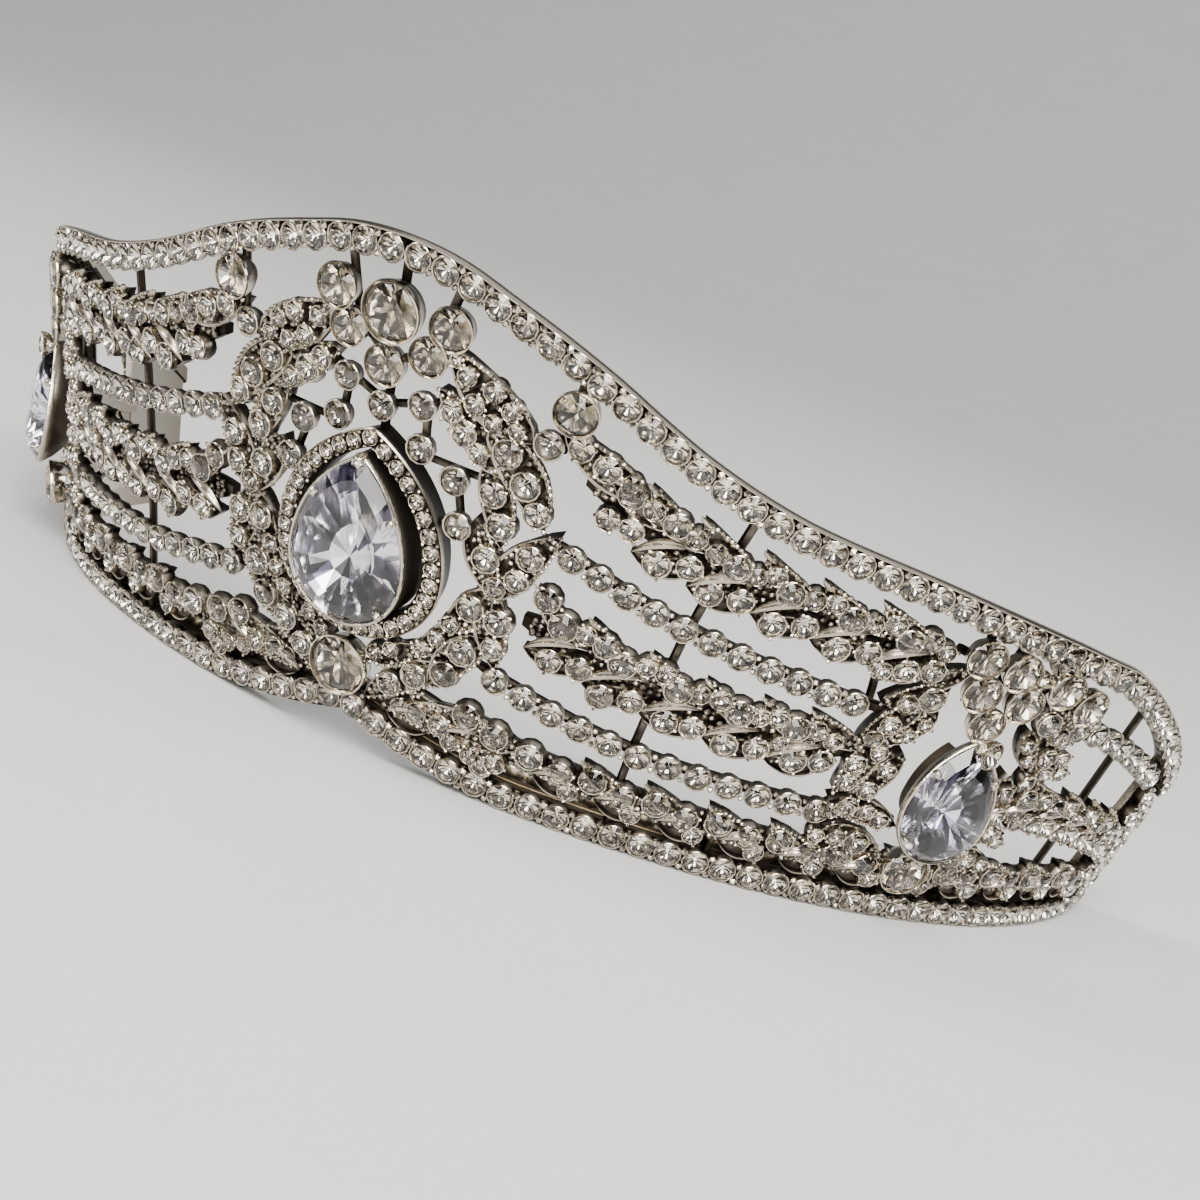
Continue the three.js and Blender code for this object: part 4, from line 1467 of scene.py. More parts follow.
@dataclass
class Garlands:
    """The leaf garlands between the plain rows."""

    bench: Bench
    vein_datum: float = 0.3

    def rows(self) -> list[Garland]:
        """Charts the garlands, leaf by leaf.

        Returns:
            The garlands.
        """
        upper = Garland(
            UPPER_GARLAND, 17.5, 50.8,
            ((21.2, 36.9, 2.2), (23.2, 36.3, 1.8), (25.2, 35.6, 2.2), (27.0, 35.0, 1.7), (28.8, 34.2, 1.8),
             (30.7, 33.5, 2.3), (32.4, 33.3, 1.6), (33.8, 33.9, 1.7), (35.4, 32.6, 2.3), (37.4, 32.7, 1.8),
             (39.1, 33.0, 1.7), (40.9, 31.9, 2.4), (42.7, 32.0, 1.6), (44.4, 32.6, 1.9), (46.2, 31.3, 2.3),
             (48.0, 32.0, 1.8), (49.6, 31.2, 1.6)),
            ((20.0, 33.9, 2.0), (22.0, 33.7, 2.1), (24.7, 31.3, 2.35), (27.2, 32.0, 2.2), (29.3, 30.2, 2.3),
             (31.9, 30.4, 2.2), (35.0, 29.1, 2.3), (37.5, 29.8, 2.2), (40.7, 28.6, 2.3), (43.3, 29.1, 2.2),
             (45.1, 27.7, 1.8), (47.1, 28.3, 2.2), (49.3, 29.0, 2.2)),
            (((22.4, 31.5), (26.7, 33.5)), ((27.4, 30.0), (32.0, 32.1)), ((32.9, 29.4), (37.2, 31.5)),
             ((38.2, 28.7), (42.8, 30.7)), ((43.6, 28.0), (48.4, 30.4))),
            ((19.4, 37.9), (22.4, 38.2), (27.0, 36.8), (32.4, 35.5), (37.6, 34.5), (42.9, 34.1)),
        )
        middle = Garland(
            MIDDLE_GARLAND, 15.5, 46.5,
            ((17.2, 23.9, 2.2), (19.1, 21.8, 2.5), (21.2, 21.9, 1.8), (23.0, 21.3, 2.1), (24.8, 20.2, 2.4),
             (26.8, 20.8, 1.7), (28.5, 20.7, 1.8), (30.0, 19.4, 2.4), (31.9, 19.8, 1.7), (33.7, 19.9, 1.9),
             (35.6, 19.1, 2.4), (37.4, 19.4, 1.7), (38.9, 19.9, 1.8), (40.8, 19.2, 2.4), (42.5, 19.6, 1.9),
             (44.3, 19.0, 1.7)),
            ((18.7, 17.9, 2.2), (21.4, 18.2, 2.2), (23.8, 16.1, 2.3), (26.5, 16.7, 2.2), (29.8, 15.8, 2.3),
             (32.3, 16.1, 2.2), (35.5, 15.4, 2.3), (38.2, 16.0, 2.2), (39.9, 17.2, 1.5), (41.8, 15.8, 2.3),
             (44.2, 16.5, 2.2)),
            (((16.2, 18.2), (20.9, 20.0)), ((21.7, 16.9), (26.5, 18.9)), ((27.3, 15.8), (32.4, 17.9)),
             ((33.2, 15.4), (37.9, 17.6)), ((39.1, 15.1), (43.8, 17.8))),
            ((16.0, 24.6), (21.2, 23.3), (26.9, 22.0), (32.0, 21.2), (37.2, 21.1), (41.6, 21.2)),
        )
        return [upper, middle, self.lower(), self.outer()]

    def lower(self) -> Garland:
        """Charts the low garland over the foot rail, whose leaves repeat along the whole side.

        Returns:
            The garland.
        """
        arcs = [22.7 + 3.1 * k for k in range(21)]
        line = LOWER_GARLAND.at
        upper = ((8.1, 7.0, 1.9), (10.6, 6.7, 2.0), (12.9, 8.8, 2.4), (15.9, 7.8, 2.4), (19.5, 7.1, 2.4)) + tuple(
            (s, line(s) + (0.85 if k % 2 else 0.35), 2.35 if k % 2 else 2.2) for k, s in enumerate(arcs)
        )
        lower = ((11.9, 5.4, 1.6), (14.1, 4.8, 1.7), (16.6, 5.0, 1.9)) + tuple(
            (s + 1.2, line(s + 1.2) - 1.15, 1.8) for s in arcs[::2]
        )
        veins = tuple(
            ((s - 1.6, line(s - 1.6) - 0.9), (s + 2.0, line(s + 2.0) + 0.1))
            for s in (6.6, 12.4, *(arc - 1.0 for arc in arcs[::2]))
        )
        tips = tuple((s - 1.4, line(s - 1.4) + 2.3) for s in (8.2, 13.1, *arcs[1::2]))
        return Garland(LOWER_GARLAND, 5.5, 88.0, upper, lower, veins, tips, 0.78)

    def outer(self) -> Garland:
        """Charts the garland between a side motif and the end.

        Returns:
            The garland.
        """
        arcs = [66.8 + 2.3 * k for k in range(9)]
        line = OUTER_GARLAND.at
        upper = tuple((s, line(s) + (1.3 if k % 2 else 0.9), 1.7 if k % 2 else 2.1) for k, s in enumerate(arcs))
        lower = tuple((s + 0.6, line(s + 0.6) - 1.5, 2.0) for s in arcs)
        veins = tuple(((s - 1.8, line(s - 1.8) - 0.9), (s + 2.4, line(s + 2.4) + 0.3)) for s in arcs[::2])
        tips = tuple((s - 1.3, line(s - 1.3) + 2.9) for s in arcs[1::2])
        return Garland(OUTER_GARLAND, 63.0, 88.0, upper, lower, veins, tips, 0.85)

    def build(self) -> None:
        """Builds all garlands."""
        cast, stones = self.bench.sheets()
        bright = Sheet(self.bench.wall)
        for row in self.rows():
            row.lay(self.bench, cast, bright, stones)
        cast.piece("garlands", [self.bench.cast], Slot.SILVER)
        bright.piece("garland_veins", [self.bench.cast], Slot.SILVER, datum=self.vein_datum)
        stones.piece("garland_stones", [self.bench.crown, self.bench.foil], Slot.CLEAR, FACETS)


# ---- the centre motif ----


@dataclass
class CentreMotif:
    """Leaves, chain and links round the centre stones."""

    bench: Bench
    leaves: Sequence[Leaf] = (
        Leaf((12.9, 38.3), (5.0, 44.1), 4.6, 0.5),
        Leaf((10.8, 34.0), (4.6, 40.1), 3.6, -0.4),
        Leaf((9.2, 38.6), (15.4, 30.4), 4.2, 0.6),
        Leaf((9.6, 35.0), (12.3, 27.2), 3.2, 0.3),
        Leaf((9.6, 29.2), (12.9, 21.8), 3.2, -0.4),
        Leaf((12.6, 21.8), (16.9, 30.4), 3.6, 0.5),
        Leaf((12.2, 22.6), (9.0, 16.6), 3.4, 0.3),
        Leaf((12.6, 22.6), (14.2, 14.8), 3.4, -0.3),
        Leaf((10.6, 18.6), (6.4, 12.8), 2.6, 0.3),
        Leaf((12.9, 17.6), (8.6, 10.2), 3.6, -0.4),
        Leaf((10.2, 13.0), (2.4, 6.2), 3.2, -0.5),
        Leaf((6.8, 13.8), (1.8, 10.4), 2.4, 0.3),
        Leaf((18.4, 7.2), (4.8, 6.4), 4.0, -0.4),
        Leaf((22.6, 36.8), (14.9, 40.6), 3.6, 0.4),
    )
    stones: Stones = (
        (6.0, 38.6, 2.0), (7.3, 37.0, 2.3), (8.8, 35.6, 1.8), (11.1, 36.6, 2.5), (13.1, 34.2, 2.5),
        (14.5, 31.8, 2.2), (10.7, 32.2, 2.3), (11.9, 29.4, 2.4), (11.3, 25.7, 2.4), (12.6, 23.2, 2.0),
        (14.9, 27.4, 2.3), (14.3, 24.7, 2.1), (11.0, 20.2, 2.4), (13.6, 19.8, 2.4), (13.7, 16.9, 2.0),
        (9.5, 17.8, 1.6), (8.6, 15.7, 1.5), (7.5, 14.1, 1.5), (11.1, 15.3, 2.5), (9.9, 12.3, 2.4),
        (7.1, 10.8, 2.3), (4.9, 8.9, 2.2), (4.5, 12.6, 1.5), (2.9, 11.6, 1.5), (6.3, 7.0, 1.5),
        (16.6, 39.6, 2.1), (18.9, 38.6, 2.3), (21.0, 37.9, 1.7),
    )
    crown_pave: Stones = (
        (0.16, 0.0, 1.6), (0.32, -0.45, 1.8), (0.32, 0.5, 1.8), (0.53, -0.5, 2.0), (0.53, 0.5, 2.0),
        (0.75, 0.0, 1.9), (0.9, 0.0, 1.2),
    )
    chain: Stones = (
        (3.5, 37.9, 2.35), (3.95, 33.8, 2.4), (7.3, 32.1, 2.4), (8.3, 27.8, 2.35), (14.1, 38.8, 2.4),
        (15.4, 4.1, 2.0),
    )
    links: Links = (
        ((3.6, 38.2), (4.0, 33.4)), ((4.6, 38.3), (0.0, 36.4)), ((3.4, 32.9), (10.4, 32.9)),
        ((7.2, 32.2), (8.3, 27.8)), ((6.6, 27.2), (11.2, 28.0)), ((4.9, 50.2), (3.3, 42.8)),
        ((3.5, 43.4), (0.0, 40.4)), ((15.6, 47.0), (15.0, 38.2)), ((15.8, 5.9), (16.2, 2.0)),
        ((15.4, 39.0), (12.6, 37.6)), ((3.5, 37.9), (6.4, 39.4)),
    )
    posts: Sequence[Spot] = ((32.4, 36.0), (37.0, 39.6), (48.2, 50.4), (3.6, 7.0), (11.8, 14.4))
    heart: Spot = (0.0, 23.8)

    def build(self) -> None:
        """Builds the motif."""
        cast, stones = self.bench.sheets()
        for leaf in self.leaves:
            leaf.blade(cast)
            leaf.rim(self.bench, cast, 0.2, 1.0, 0.62, 0.5, leaf.away(self.heart))
        self.leaves[0].pave(self.bench, cast, stones, self.crown_pave, 0.26)
        self.bench.sink(cast, stones, self.stones, 0.26)
        for s, h, width in self.chain:
            self.bench.set_stone(cast, stones, s, h, width * 1.15, 0.2, 0)
        for leaf in self.leaves:
            self.bench.granulate(cast, leaf.ground())
        for start, end in self.links:
            cast.strut(start, end, -0.8, 0.42, 4)
        self.bench.finish(cast, stones, ("centre_leaves", "centre_leaf_stones"))
        self.build_middle()

    def build_middle(self) -> None:
        """Builds what lies on the middle line: the top link of the chain and its posts."""
        cast, stones = self.bench.sheets(mirrored=False)
        self.bench.set_stone(cast, stones, 0.0, 36.4, 2.75, 0.2, 0)
        for low, high in self.posts:
            cast.strut((0.0, low), (0.0, high), -1.0, 0.45, 3)
        self.bench.finish(cast, stones, ("middle_posts", "chain_top_stone"))


@dataclass
class Halo:
    """The ring of small stones round the centre pear."""

    bench: Bench
    cut: PearCut
    height: float = 23.7
    offset: float = 1.42
    pitch: float = 1.66
    stone: float = 1.52
    lift: float = 1.22
    bead_out: float = 0.68
    bead: float = 0.46
    # Its metal is measured from this face, so the walls below it take painted shade.
    datum: float = 1.05
    steps: int = 96
    fineness: int = 600
    section: Section = (
        (0.42, -1.8), (0.42, 0.95), (0.52, 1.1), (0.62, 0.95), (0.68, 0.55), (2.14, 0.55), (2.18, 1.0),
        (2.3, 1.12), (2.42, 0.95), (2.38, 0.6), (2.0, -0.3), (1.9, -1.8),
    )

    def build(self) -> None:
        """Builds the ring, its stones and beads."""
        cast, stones = self.bench.sheets(mirrored=False)
        cast.ring(self.cut, self.section, self.height, self.steps)
        for spot, after in self.pairs():
            self.bench.set_stone(cast, stones, spot.x, spot.y + self.height, self.stone, self.lift, 0)
            middle = spot.lerp(after, 0.5)
            out = Vector((after.y - spot.y, spot.x - after.x, 0.0)).normalized()
            for side in (1, -1):
                beside = middle + out * side * self.bead_out
                self.bench.grain(cast, beside.x, beside.y + self.height, 1.2, self.bead)
        self.bench.finish(cast, stones, ("halo", "halo_stones"), self.datum)

    def pairs(self) -> list[tuple[Vector, Vector]]:
        """Spaces the stones evenly round the ring.

        Returns:
            The middle of each stone with that of the one after it.
        """
        fine = [self.cut.edge(k / self.fineness, self.offset) for k in range(self.fineness + 1)]
        run = np.concatenate([[0.0], np.cumsum([(b - a).length for a, b in zip(fine, fine[1:])])])
        count = round(run[-1] / self.pitch)
        shares = np.arange(self.fineness + 1) / self.fineness
        turns = np.interp(np.arange(count + 1) / count * run[-1], run, shares)
        spots = [self.cut.edge(float(turn), self.offset) for turn in turns]
        return list(zip(spots, spots[1:]))


# ---- side motifs ----


@dataclass
class SideMotif:
    """Leaves and small stones round each side pear, folded about their own middle."""

    bench: Bench
    middle: float = 57.0
    leaves: Sequence[Leaf] = (
        Leaf((5.2, 27.6), (10.4, 24.2), 3.0, 0.3), Leaf((5.0, 24.8), (7.6, 20.0), 2.1, 0.2),
        Leaf((6.6, 25.0), (10.4, 19.0), 2.8, -0.3), Leaf((8.6, 21.0), (10.2, 13.4), 3.0, 0.3),
        Leaf((5.8, 19.4), (8.4, 12.8), 2.6, 0.3), Leaf((10.2, 12.4), (2.4, 11.2), 3.0, 0.3),
        Leaf((9.4, 9.4), (1.6, 6.4), 3.6, 0.3), Leaf((7.6, 26.6), (4.2, 29.6), 2.0, 0.2),
    )
    stones: Stones = (
        (8.2, 24.9, 1.9), (6.3, 26.0, 2.4), (5.6, 23.1, 1.4), (6.6, 21.6, 1.4), (8.6, 22.2, 1.9), (9.4, 20.4, 1.7),
        (8.2, 19.0, 1.6), (9.7, 17.1, 2.0), (9.6, 15.0, 1.8), (6.6, 17.3, 1.6), (7.3, 14.6, 1.9), (8.3, 12.4, 1.9),
        (6.3, 12.2, 1.6), (4.6, 11.6, 1.7), (9.6, 11.4, 1.4), (7.6, 8.6, 1.6), (5.5, 8.5, 2.3), (7.6, 6.3, 1.8),
        (3.4, 6.0, 2.1), (9.7, 8.3, 1.5),
    )
    links: Links = (
        ((53, 35.4), (54.4, 26)), ((56.9, 35), (56.4, 23.4)), ((62.2, 34), (62.4, 27)), ((51, 31.4), (67, 27.5)),
        ((57, 6.0), (57, 2.0)), ((66, 29.4), (68.2, 26.2)),
    )
    fern: Stones = (
        (60.6, 32.6, 1.9), (62.9, 26.3, 2.2), (64.4, 25.2, 1.7), (66.2, 24.2, 1.6), (67.6, 22.2, 1.7),
        (68.6, 20.6, 1.5), (68.0, 26.9, 1.9), (59.8, 30.6, 1.6),
    )
    heart_height: float = 17.0
    bail_height: float = 22.7

    def build(self) -> None:
        """Builds both motifs."""
        cast, stones = self.bench.sheets()
        grounds: list[Vector] = []
        for fold in (1, -1):
            for leaf in self.leaves:
                placed = Leaf(
                    (self.middle - fold * leaf.tail[0], leaf.tail[1]), (self.middle - fold * leaf.tip[0], leaf.tip[1]),
                    leaf.width, leaf.bow * fold, steps=8,
                )
                placed.blade(cast)
                away = placed.away((self.middle, self.heart_height))
                placed.rim(self.bench, cast, 0.2, 1.0, 0.62, 0.46, away)
                grounds.extend(placed.ground())
            spots = [(self.middle - fold * s, h, width) for s, h, width in self.stones]
            self.bench.sink(cast, stones, spots, 0.24)
        for s, h, width in self.fern:
            self.bench.set_stone(cast, stones, s, h, width * 1.1, 0.1, 3)
        self.bench.granulate(cast, grounds)
        self.bail(cast, stones)
        for start, end in self.links:
            cast.strut(start, end, -1.1, 0.5, 5)
        self.bench.finish(cast, stones, ("side_leaves", "side_leaf_stones"))

    def bail(self, cast: Sheet, stones: Sheet) -> None:
        """Adds the small long stone over the side pear's point.

        Args:
            cast: Sheet of its cup.
            stones: Sheet of the stone.
        """
        s, h = self.middle + 0.7, self.bail_height
        cast.stamp(self.bench.patterns.cup, cast.spot(s, h, 2.3, (0.84, 1.5, 1.2)))
        cast.rod(((s, 22.9, 1.6), (s, 23.4, 0.4), (s, 23.9, -0.6)), 0.5, 5)
        stones.stamp(self.bench.patterns.chaton, stones.spot(s, h, 2.36, (0.8, 1.44, 1.0), math.pi / 8))


# ---- the larger stones and their settings ----


@dataclass(frozen=True)
class Round:
    """A larger round stone and where it is set."""

    name: str
    s: float
    h: float
    radius: float
    girdle: float = 0.75
    paired: bool = True


@dataclass
class Rounds:
    """The larger round stones in thin cups."""

    bench: Bench
    stones: Sequence[Round] = (
        Round("crown_round_stone", 0.0, 45.8, 2.6, 0.9, False), Round("lower_round_stone", 0.0, 9.3, 2.7, 1.4, False),
        Round("crown_foot_stone", 0.0, 40.6, 1.8, paired=False), Round("drop_round_stone", 57.0, 7.2, 2.2, 1.8),
        Round("crown_side_stone", 5.0, 46.2, 1.9), Round("crown_lower_stone", 3.55, 42.9, 1.7),
        Round("branch_round_stone", 15.6, 42.8, 1.9), Round("cluster_stone_1", 53.0, 31.8, 1.8),
        Round("cluster_stone_2", 56.9, 31.2, 1.8), Round("cluster_stone_3", 54.4, 28.1, 1.8),
        Round("cluster_stone_4", 58.9, 27.9, 1.8), Round("cluster_stone_5", 56.5, 24.9, 1.75),
        Round("cluster_stone_6", 62.2, 30.3, 1.8), Round("cluster_stone_7", 65.9, 28.9, 1.8),
    )
    cut: RoundCut = RoundCut(table=0.66, crown=0.3, keel=0.62, middle_rings=True)
    stone_spread: float = 1.05
    cup_spread: float = 1.09

    def build(self) -> None:
        """Builds the stones, one piece each, and their cups."""
        cut = self.cut.mesh("round_cut")
        cups = Sheet(self.bench.wall, mirrored=False)
        for stone in self.stones:
            for side in Side if stone.paired else (Side.RIGHT,):
                node = f"{stone.name}_{side.name.lower()}" if stone.paired else stone.name
                s = stone.s * side.value
                self.cup(cups, s, stone)
                mesh = cut.copy()
                mesh.name = f"{node}_cut"
                turn = Matrix.Rotation(self.bench.chance.uniform(0, 0.8), 4, "Z")
                size = Matrix.Scale(stone.radius * self.stone_spread, 4)
                mesh.transform(self.bench.wall.stand(s, stone.h, stone.girdle) @ turn @ size)
                finished(mesh, [self.bench.crown, self.bench.broad_foil], Slot.CLEAR, FACETS, (node,))
        cups.piece("round_cups", [self.bench.cast], Slot.SILVER)

    def cup(self, cups: Sheet, s: float, stone: Round) -> None:
        """Adds the cup of a stone, down to the back of the metal.

        Args:
            cups: Sheet that takes it.
            s: Arc of its middle.
            stone: The stone.
        """
        radius = stone.radius * self.cup_spread
        cups.stamp(self.bench.patterns.cup, cups.spot(s, stone.h, stone.girdle, (radius, radius, radius)))
        foot = stone.girdle - 0.5 * radius
        path = ((s, stone.h, foot), (s, stone.h, foot - 0.2), (s + 0.001, stone.h, foot - 0.4))
        cups.rod(path, radius * 0.7, 2)


@dataclass
class Pears:
    """The three pear stones in high plain bezels."""

    bench: Bench
    centre: PearCut = PearCut(16.8, 5.95)
    side: PearCut = PearCut(12.9, 4.75)
    side_arc: float = 57.0
    crown: float = 1.85
    steps: int = 90
    claws: Sequence[Spot] = ((0.09, 0.44), (0.33, 0.44), (0.56, 0.44), (0.71, 0.7), (0.86, 0.44))

    def build(self) -> None:
        """Builds the stones and their bezels."""
        self.set_pear("centre_pear_stone", self.centre, (0.0, 23.5, 2.6), 2.0, -1.6, 0.0, 0.5)
        for half in Side:
            name = f"side_pear_stone_{half.name.lower()}"
            self.set_pear(name, self.side, (self.side_arc * half.value, 16.5, 2.0), 11.0, -2.3, 2.3, 0.58)

    def set_pear(self, node: str, cut: PearCut, spot: Place, tilt: float, back: float,
                 draft: float, keel: float) -> None:
        """Sets one pear stone.

        Args:
            node: The CAD node of the stone.
            cut: Its outline.
            spot: Arc, height and distance of its girdle from the face.
            tilt: Degrees by which its lower end swings outward.
            back: Back of its bezel, from the face.
            draft: How far its bezel draws in towards the back.
            keel: Depth of the stone over half its width.
        """
        place = self.bench.wall.stand(*spot, tilt)
        stone = cut.brilliant(f"{node}_cut", self.crown, cut.half * keel)
        stone.transform(place)
        finished(stone, [self.bench.violet, self.bench.violet_foil], Slot.VIOLET, FACETS, (node,))
        bezel = self.bezel(cut, back - spot[2], draft)
        bezel.name = node.replace("stone", "bezel")
        bezel.transform(place)
        finished(bezel, [self.bench.walls], Slot.SILVER, METAL_EDGE, ("soldered_frame",))

    def bezel(self, cut: PearCut, back: float, draft: float) -> bpy.types.Mesh:
        """The bezel of a pear about its girdle: a thin wall with a rolled rim, open at the back.

        Args:
            cut: Outline of the stone.
            back: Its back, from the girdle.
            draft: How far it draws in towards the back.

        Returns:
            The mesh, in millimetres about the stone's middle.
        """
        section = (
            (0.06, 0.06), (0.13, 0.19), (0.25, 0.24), (0.36, 0.14), (0.4, -0.12), (0.26, -0.5),
            (0.2 - 0.3 * draft, -1.5), (0.3 - draft, -2.9), (0.25 - draft, back), (-0.35 - draft, back),
            (-0.3 - draft, -2.7), (-0.15 - 0.3 * draft, -1.4),
        )
        sheet = Sheet(self.bench.wall, mirrored=False)
        sheet.ring(cut, section, 0.0, self.steps)
        for turn, size in self.claws:
            rim, grip = cut.edge(turn, 0.3), cut.edge(turn, -0.3)
            path = ((rim.x, rim.y, -0.2), (rim.x, rim.y, 0.7), (grip.x, grip.y, 0.55))
            sheet.rod(path, 0.78 * size, 6, 0.2)
            ball = Matrix.Translation((grip.x, grip.y, 0.5)) @ Matrix.Scale(size, 4)
            sheet.stamp(self.bench.patterns.bead, ball)
        mesh = kept(sheet.bm, "bezel")
        # The bezel's wall takes painted shade steeply towards its back, behind the stone.
        mark(mesh, "depth", "POINT", [2.4 * vert.co.z - 0.5 for vert in mesh.vertices])
        return mesh


@dataclass
class Ends:
    """The plates that close the two ends, set with rows of small stones."""

    bench: Bench
    start: float = 86.6
    end: float = 98.6
    low: float = 1.2
    ease: float = 0.2
    steps: int = 10
    columns: Sequence[float] = (88.3, 90.6, 92.9, 95.2, 97.4)
    pitch: float = 2.7
    stone: float = 2.2

    def build(self) -> None:
        """Builds the plates and the stones set in them."""
        plates = Sheet(self.bench.wall)

        def corner(u: float, v: float) -> Vector:
            """A corner of the plate, its edges eased.

            Args:
                u: Share of the way along.
                v: Share of the way round the section.

            Returns:
                The corner on the sheet.
            """
            s = self.start + (self.end - self.start) * u
            low, high = self.low, TOP_LINE.at(s)
            return Vector((s, *corner_at((
                (low, -1.6), (low, -0.95), (low + self.ease, -0.8), (high - self.ease, -0.8), (high, -0.95),
                (high, -1.6),
            ), v)))

        plates.loft(self.steps, 6, corner)
        plates.piece("end_plates", [self.bench.polished], Slot.SILVER, unshaded_tops=True)
        cast, stones = self.bench.sheets()
        for k, s in enumerate(self.columns):
            first = FOOT_LINE.at(s) + self.pitch + self.pitch / 2 * (k % 2)
            for h in np.arange(first, TOP_LINE.at(s) - 2.1, self.pitch):
                self.bench.set_stone(cast, stones, s, float(h), self.stone, 0.05, 3)
        self.bench.finish(cast, stones, ("end_collets", "end_stones"))


# ---- camera, light and floor ----


@dataclass(frozen=True)
class Lamp:
    """A square soft lamp that faces the tiara, placed from the tiara's middle."""

    name: str
    spot: Place
    size: float
    power: float
    tone: Tone


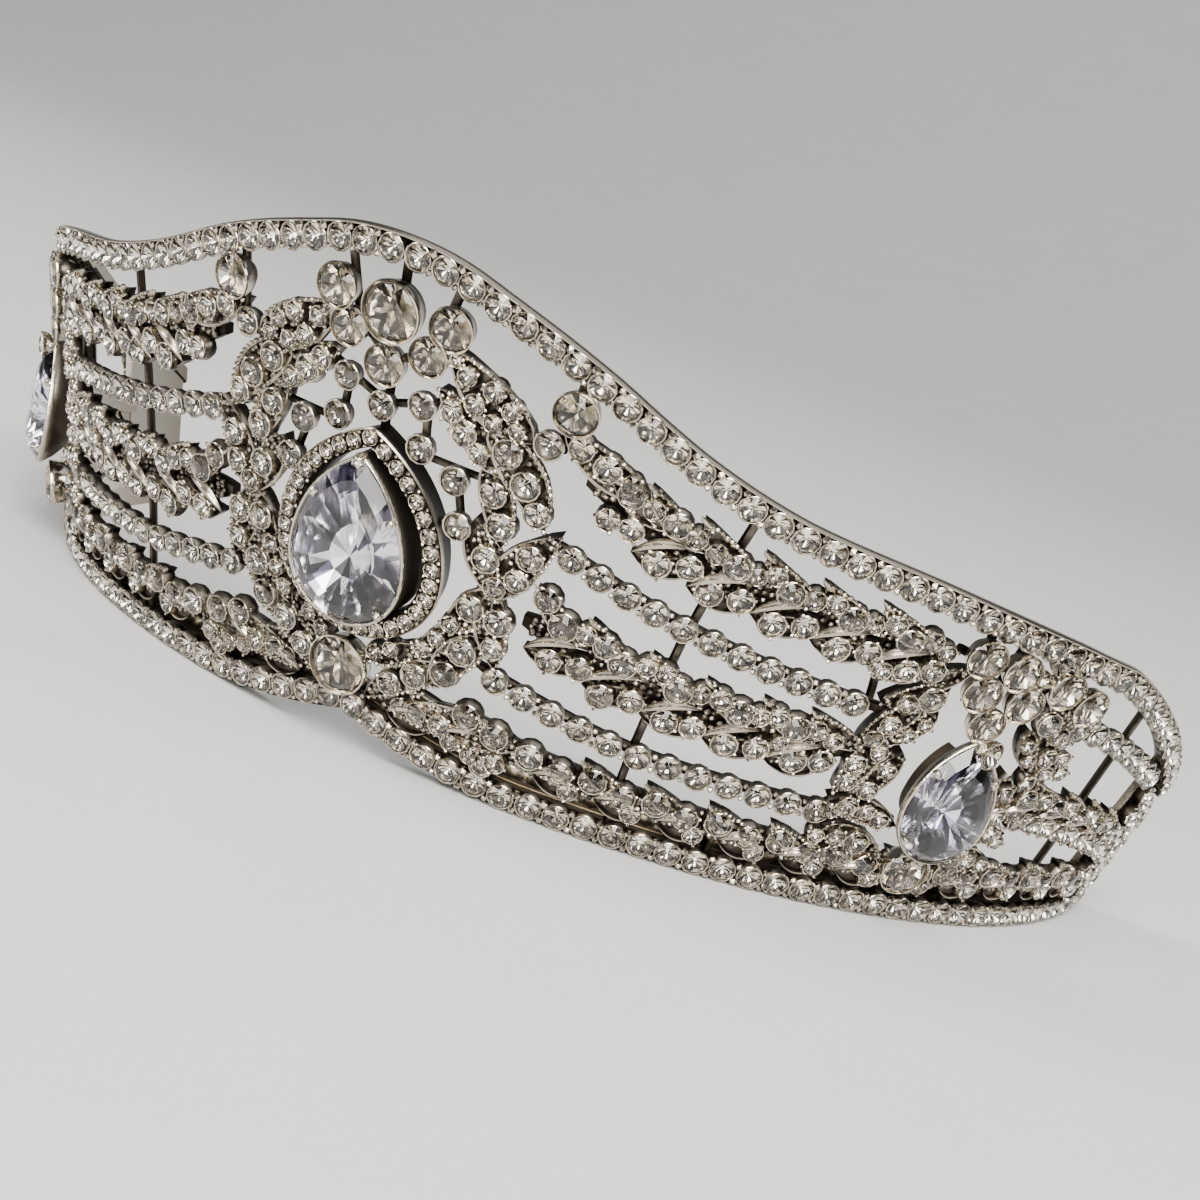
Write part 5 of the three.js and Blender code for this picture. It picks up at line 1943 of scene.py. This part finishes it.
@dataclass(frozen=True)
class Studio:
    """A pale sweep of paper, soft lamps and the camera."""

    centre: Vector
    yaw: float = 20.9
    pitch: float = 13.6
    roll: float = 19.2
    distance: float = 0.285
    lens: float = 70.9
    shift: Spot = (0.0217, 0.0717)
    sky: Tone = (0.72, 0.74, 0.78)
    sky_strength: float = 0.13
    floor: float = 1.6
    rise_at: float = 0.55
    rise_radius: float = 0.9
    lamps: Sequence[Lamp] = (
        Lamp("ceiling", (0.0, 0.25, 1.5), 1.7, 8.0, (1.0, 1.0, 1.0)),
        Lamp("front", (0.34, -0.85, 0.36), 0.5, 10.0, (1.0, 0.975, 0.93)),
        Lamp("key", (0.24, -0.56, 0.62), 0.38, 11.0, (1.0, 0.97, 0.92)),
        Lamp("fill", (-0.72, -0.34, 0.66), 0.4, 6.5, (1.0, 0.985, 0.96)),
        Lamp("side", (0.8, 0.1, 0.62), 0.36, 4.0, (1.0, 0.99, 0.97)),
    )

    def axes(self) -> tuple[Vector, Vector, Vector]:
        """Turns the camera.

        Returns:
            Its right, up and back.
        """
        yaw, pitch, roll = (math.radians(angle) for angle in (self.yaw, self.pitch, self.roll))
        back = Vector((math.sin(yaw) * math.cos(pitch), -math.cos(yaw) * math.cos(pitch), math.sin(pitch)))
        right = Vector((math.cos(yaw), math.sin(yaw), 0.0))
        up = back.cross(right)
        level, upright = right.copy(), up.copy()
        right = level * math.cos(roll) + upright * math.sin(roll)
        up = upright * math.cos(roll) - level * math.sin(roll)
        return right, up, back

    def camera(self) -> None:
        """Adds the camera."""
        right, up, back = self.axes()
        data = bpy.data.cameras.new("camera")
        data.lens = self.lens
        data.sensor_width = 36.0
        data.clip_start = 0.01
        data.shift_x, data.shift_y = self.shift
        camera = bpy.data.objects.new("camera", data)
        turn = Matrix((right, up, back)).transposed().to_4x4()
        camera.matrix_world = Matrix.Translation(self.centre + back * self.distance) @ turn
        bpy.context.scene.collection.objects.link(camera)
        bpy.context.scene.camera = camera

    def hang(self, lamp: Lamp) -> None:
        """Adds a lamp.

        Args:
            lamp: The lamp.
        """
        data = bpy.data.lights.new(lamp.name, "AREA")
        data.shape = "SQUARE"
        data.size, data.energy, data.color = lamp.size, lamp.power, lamp.tone
        light = bpy.data.objects.new(lamp.name, data)
        light.location = self.centre + Vector(lamp.spot)
        light.rotation_euler = Vector(lamp.spot).to_track_quat("Z", "Y").to_euler()
        bpy.context.scene.collection.objects.link(light)

    def light(self) -> None:
        """Adds the world and the lamps."""
        world = bpy.data.worlds.new("studio")
        world.use_nodes = True
        background = world.node_tree.nodes["Background"]
        background.inputs["Color"].default_value = (*self.sky, 1.0)
        background.inputs["Strength"].default_value = self.sky_strength
        bpy.context.scene.world = world
        for lamp in self.lamps:
            self.hang(lamp)

    def sweep(self) -> None:
        """Adds the floor, which rises behind the tiara in one curve."""
        bm = bmesh.new()
        bmesh.ops.create_grid(bm, x_segments=1, y_segments=48, size=self.floor)
        for vert in bm.verts:
            past = max(vert.co.y - self.rise_at, 0.0)
            angle = min(past / self.rise_radius, math.pi / 2)
            rest = max(past - self.rise_radius * math.pi / 2, 0.0)
            y = min(vert.co.y, self.rise_at) + self.rise_radius * math.sin(angle)
            vert.co = Vector((vert.co.x * 2, y, self.rise_radius * (1 - math.cos(angle)) + rest))
        mesh = kept(bm, "paper_sweep")
        mesh.materials.append(Paper().material())
        mesh.shade_smooth()
        sweep = bpy.data.objects.new("paper_sweep", mesh)
        bpy.context.scene.collection.objects.link(sweep)
        sweep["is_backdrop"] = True

    def build(self) -> None:
        """Sets up floor, light and camera."""
        self.sweep()
        self.light()
        self.camera()


def fitted_wall() -> Wall:
    """Places the wall in plan so that its ends meet the back of the CAD box.

    Returns:
        The wall.
    """
    loose = Wall()
    rail_top = 1.75
    x, y = loose.feet(np.array([loose.reach]))
    normal = Vector((x[0] / loose.half_width**2, y[0] / loose.half_depth**2)).normalized()
    out = (TOP_LINE.at(loose.reach) + rail_top) * math.sin(loose.lean(loose.reach))
    return Wall(plan_y=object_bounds()[1][1] - (y[0] + normal.y * out) * MM)


def main() -> None:
    """Builds the tiara and its studio."""
    logging.basicConfig(level=logging.INFO, format="%(name)s: %(message)s")
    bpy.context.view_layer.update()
    wall = fitted_wall()
    bench = Bench(
        wall,
        Patterns(),
        # The metals darken their hollows, partly tarnish and partly painted shade; the foils paint dark and bright
        # facets as painted reflections.
        Metal("cast_silver").material(),
        Metal("polished_silver", (0.72, 0.67, 0.57), (0.15, 0.12, 0.08), 0.12, 0.3, 0.00001, (-2.9, 0.4)).material(),
        Metal("bezel_silver", (0.62, 0.57, 0.48), (0.06, 0.048, 0.034), 0.2, 0.45, 0.00008, (-2.2, 1.0)).material(),
        Gem("clear_crown", (1.0, 0.995, 0.975), (0.97, 0.96, 0.93)).material(),
        Foil("stone_foil").material(),
        Foil("broad_foil", (0.95, 0.91, 0.82), (0.03, 0.025, 0.018), 400.0, 0.02, (0.3, 0.5)).material(),
        Gem("violet_stone", (0.97, 0.955, 1.0), (0.91, 0.895, 0.97)).material(),
        Foil("violet_foil", (1.0, 0.985, 1.0), (0.075, 0.068, 0.1), 420.0, 0.06, (0.36, 0.62)).material(),
    )
    pears = Pears(bench)
    for assembly in (
        Rails(bench), PlainRows(bench), Garlands(bench), CentreMotif(bench), Halo(bench, pears.centre),
        SideMotif(bench), Rounds(bench), pears, Ends(bench),
    ):
        assembly.build()
        LOG.info("%s built", type(assembly).__name__)
    Studio(Vector((0.0, wall.plan_y, 0.0))).build()


if __name__ == "__main__":
    main()
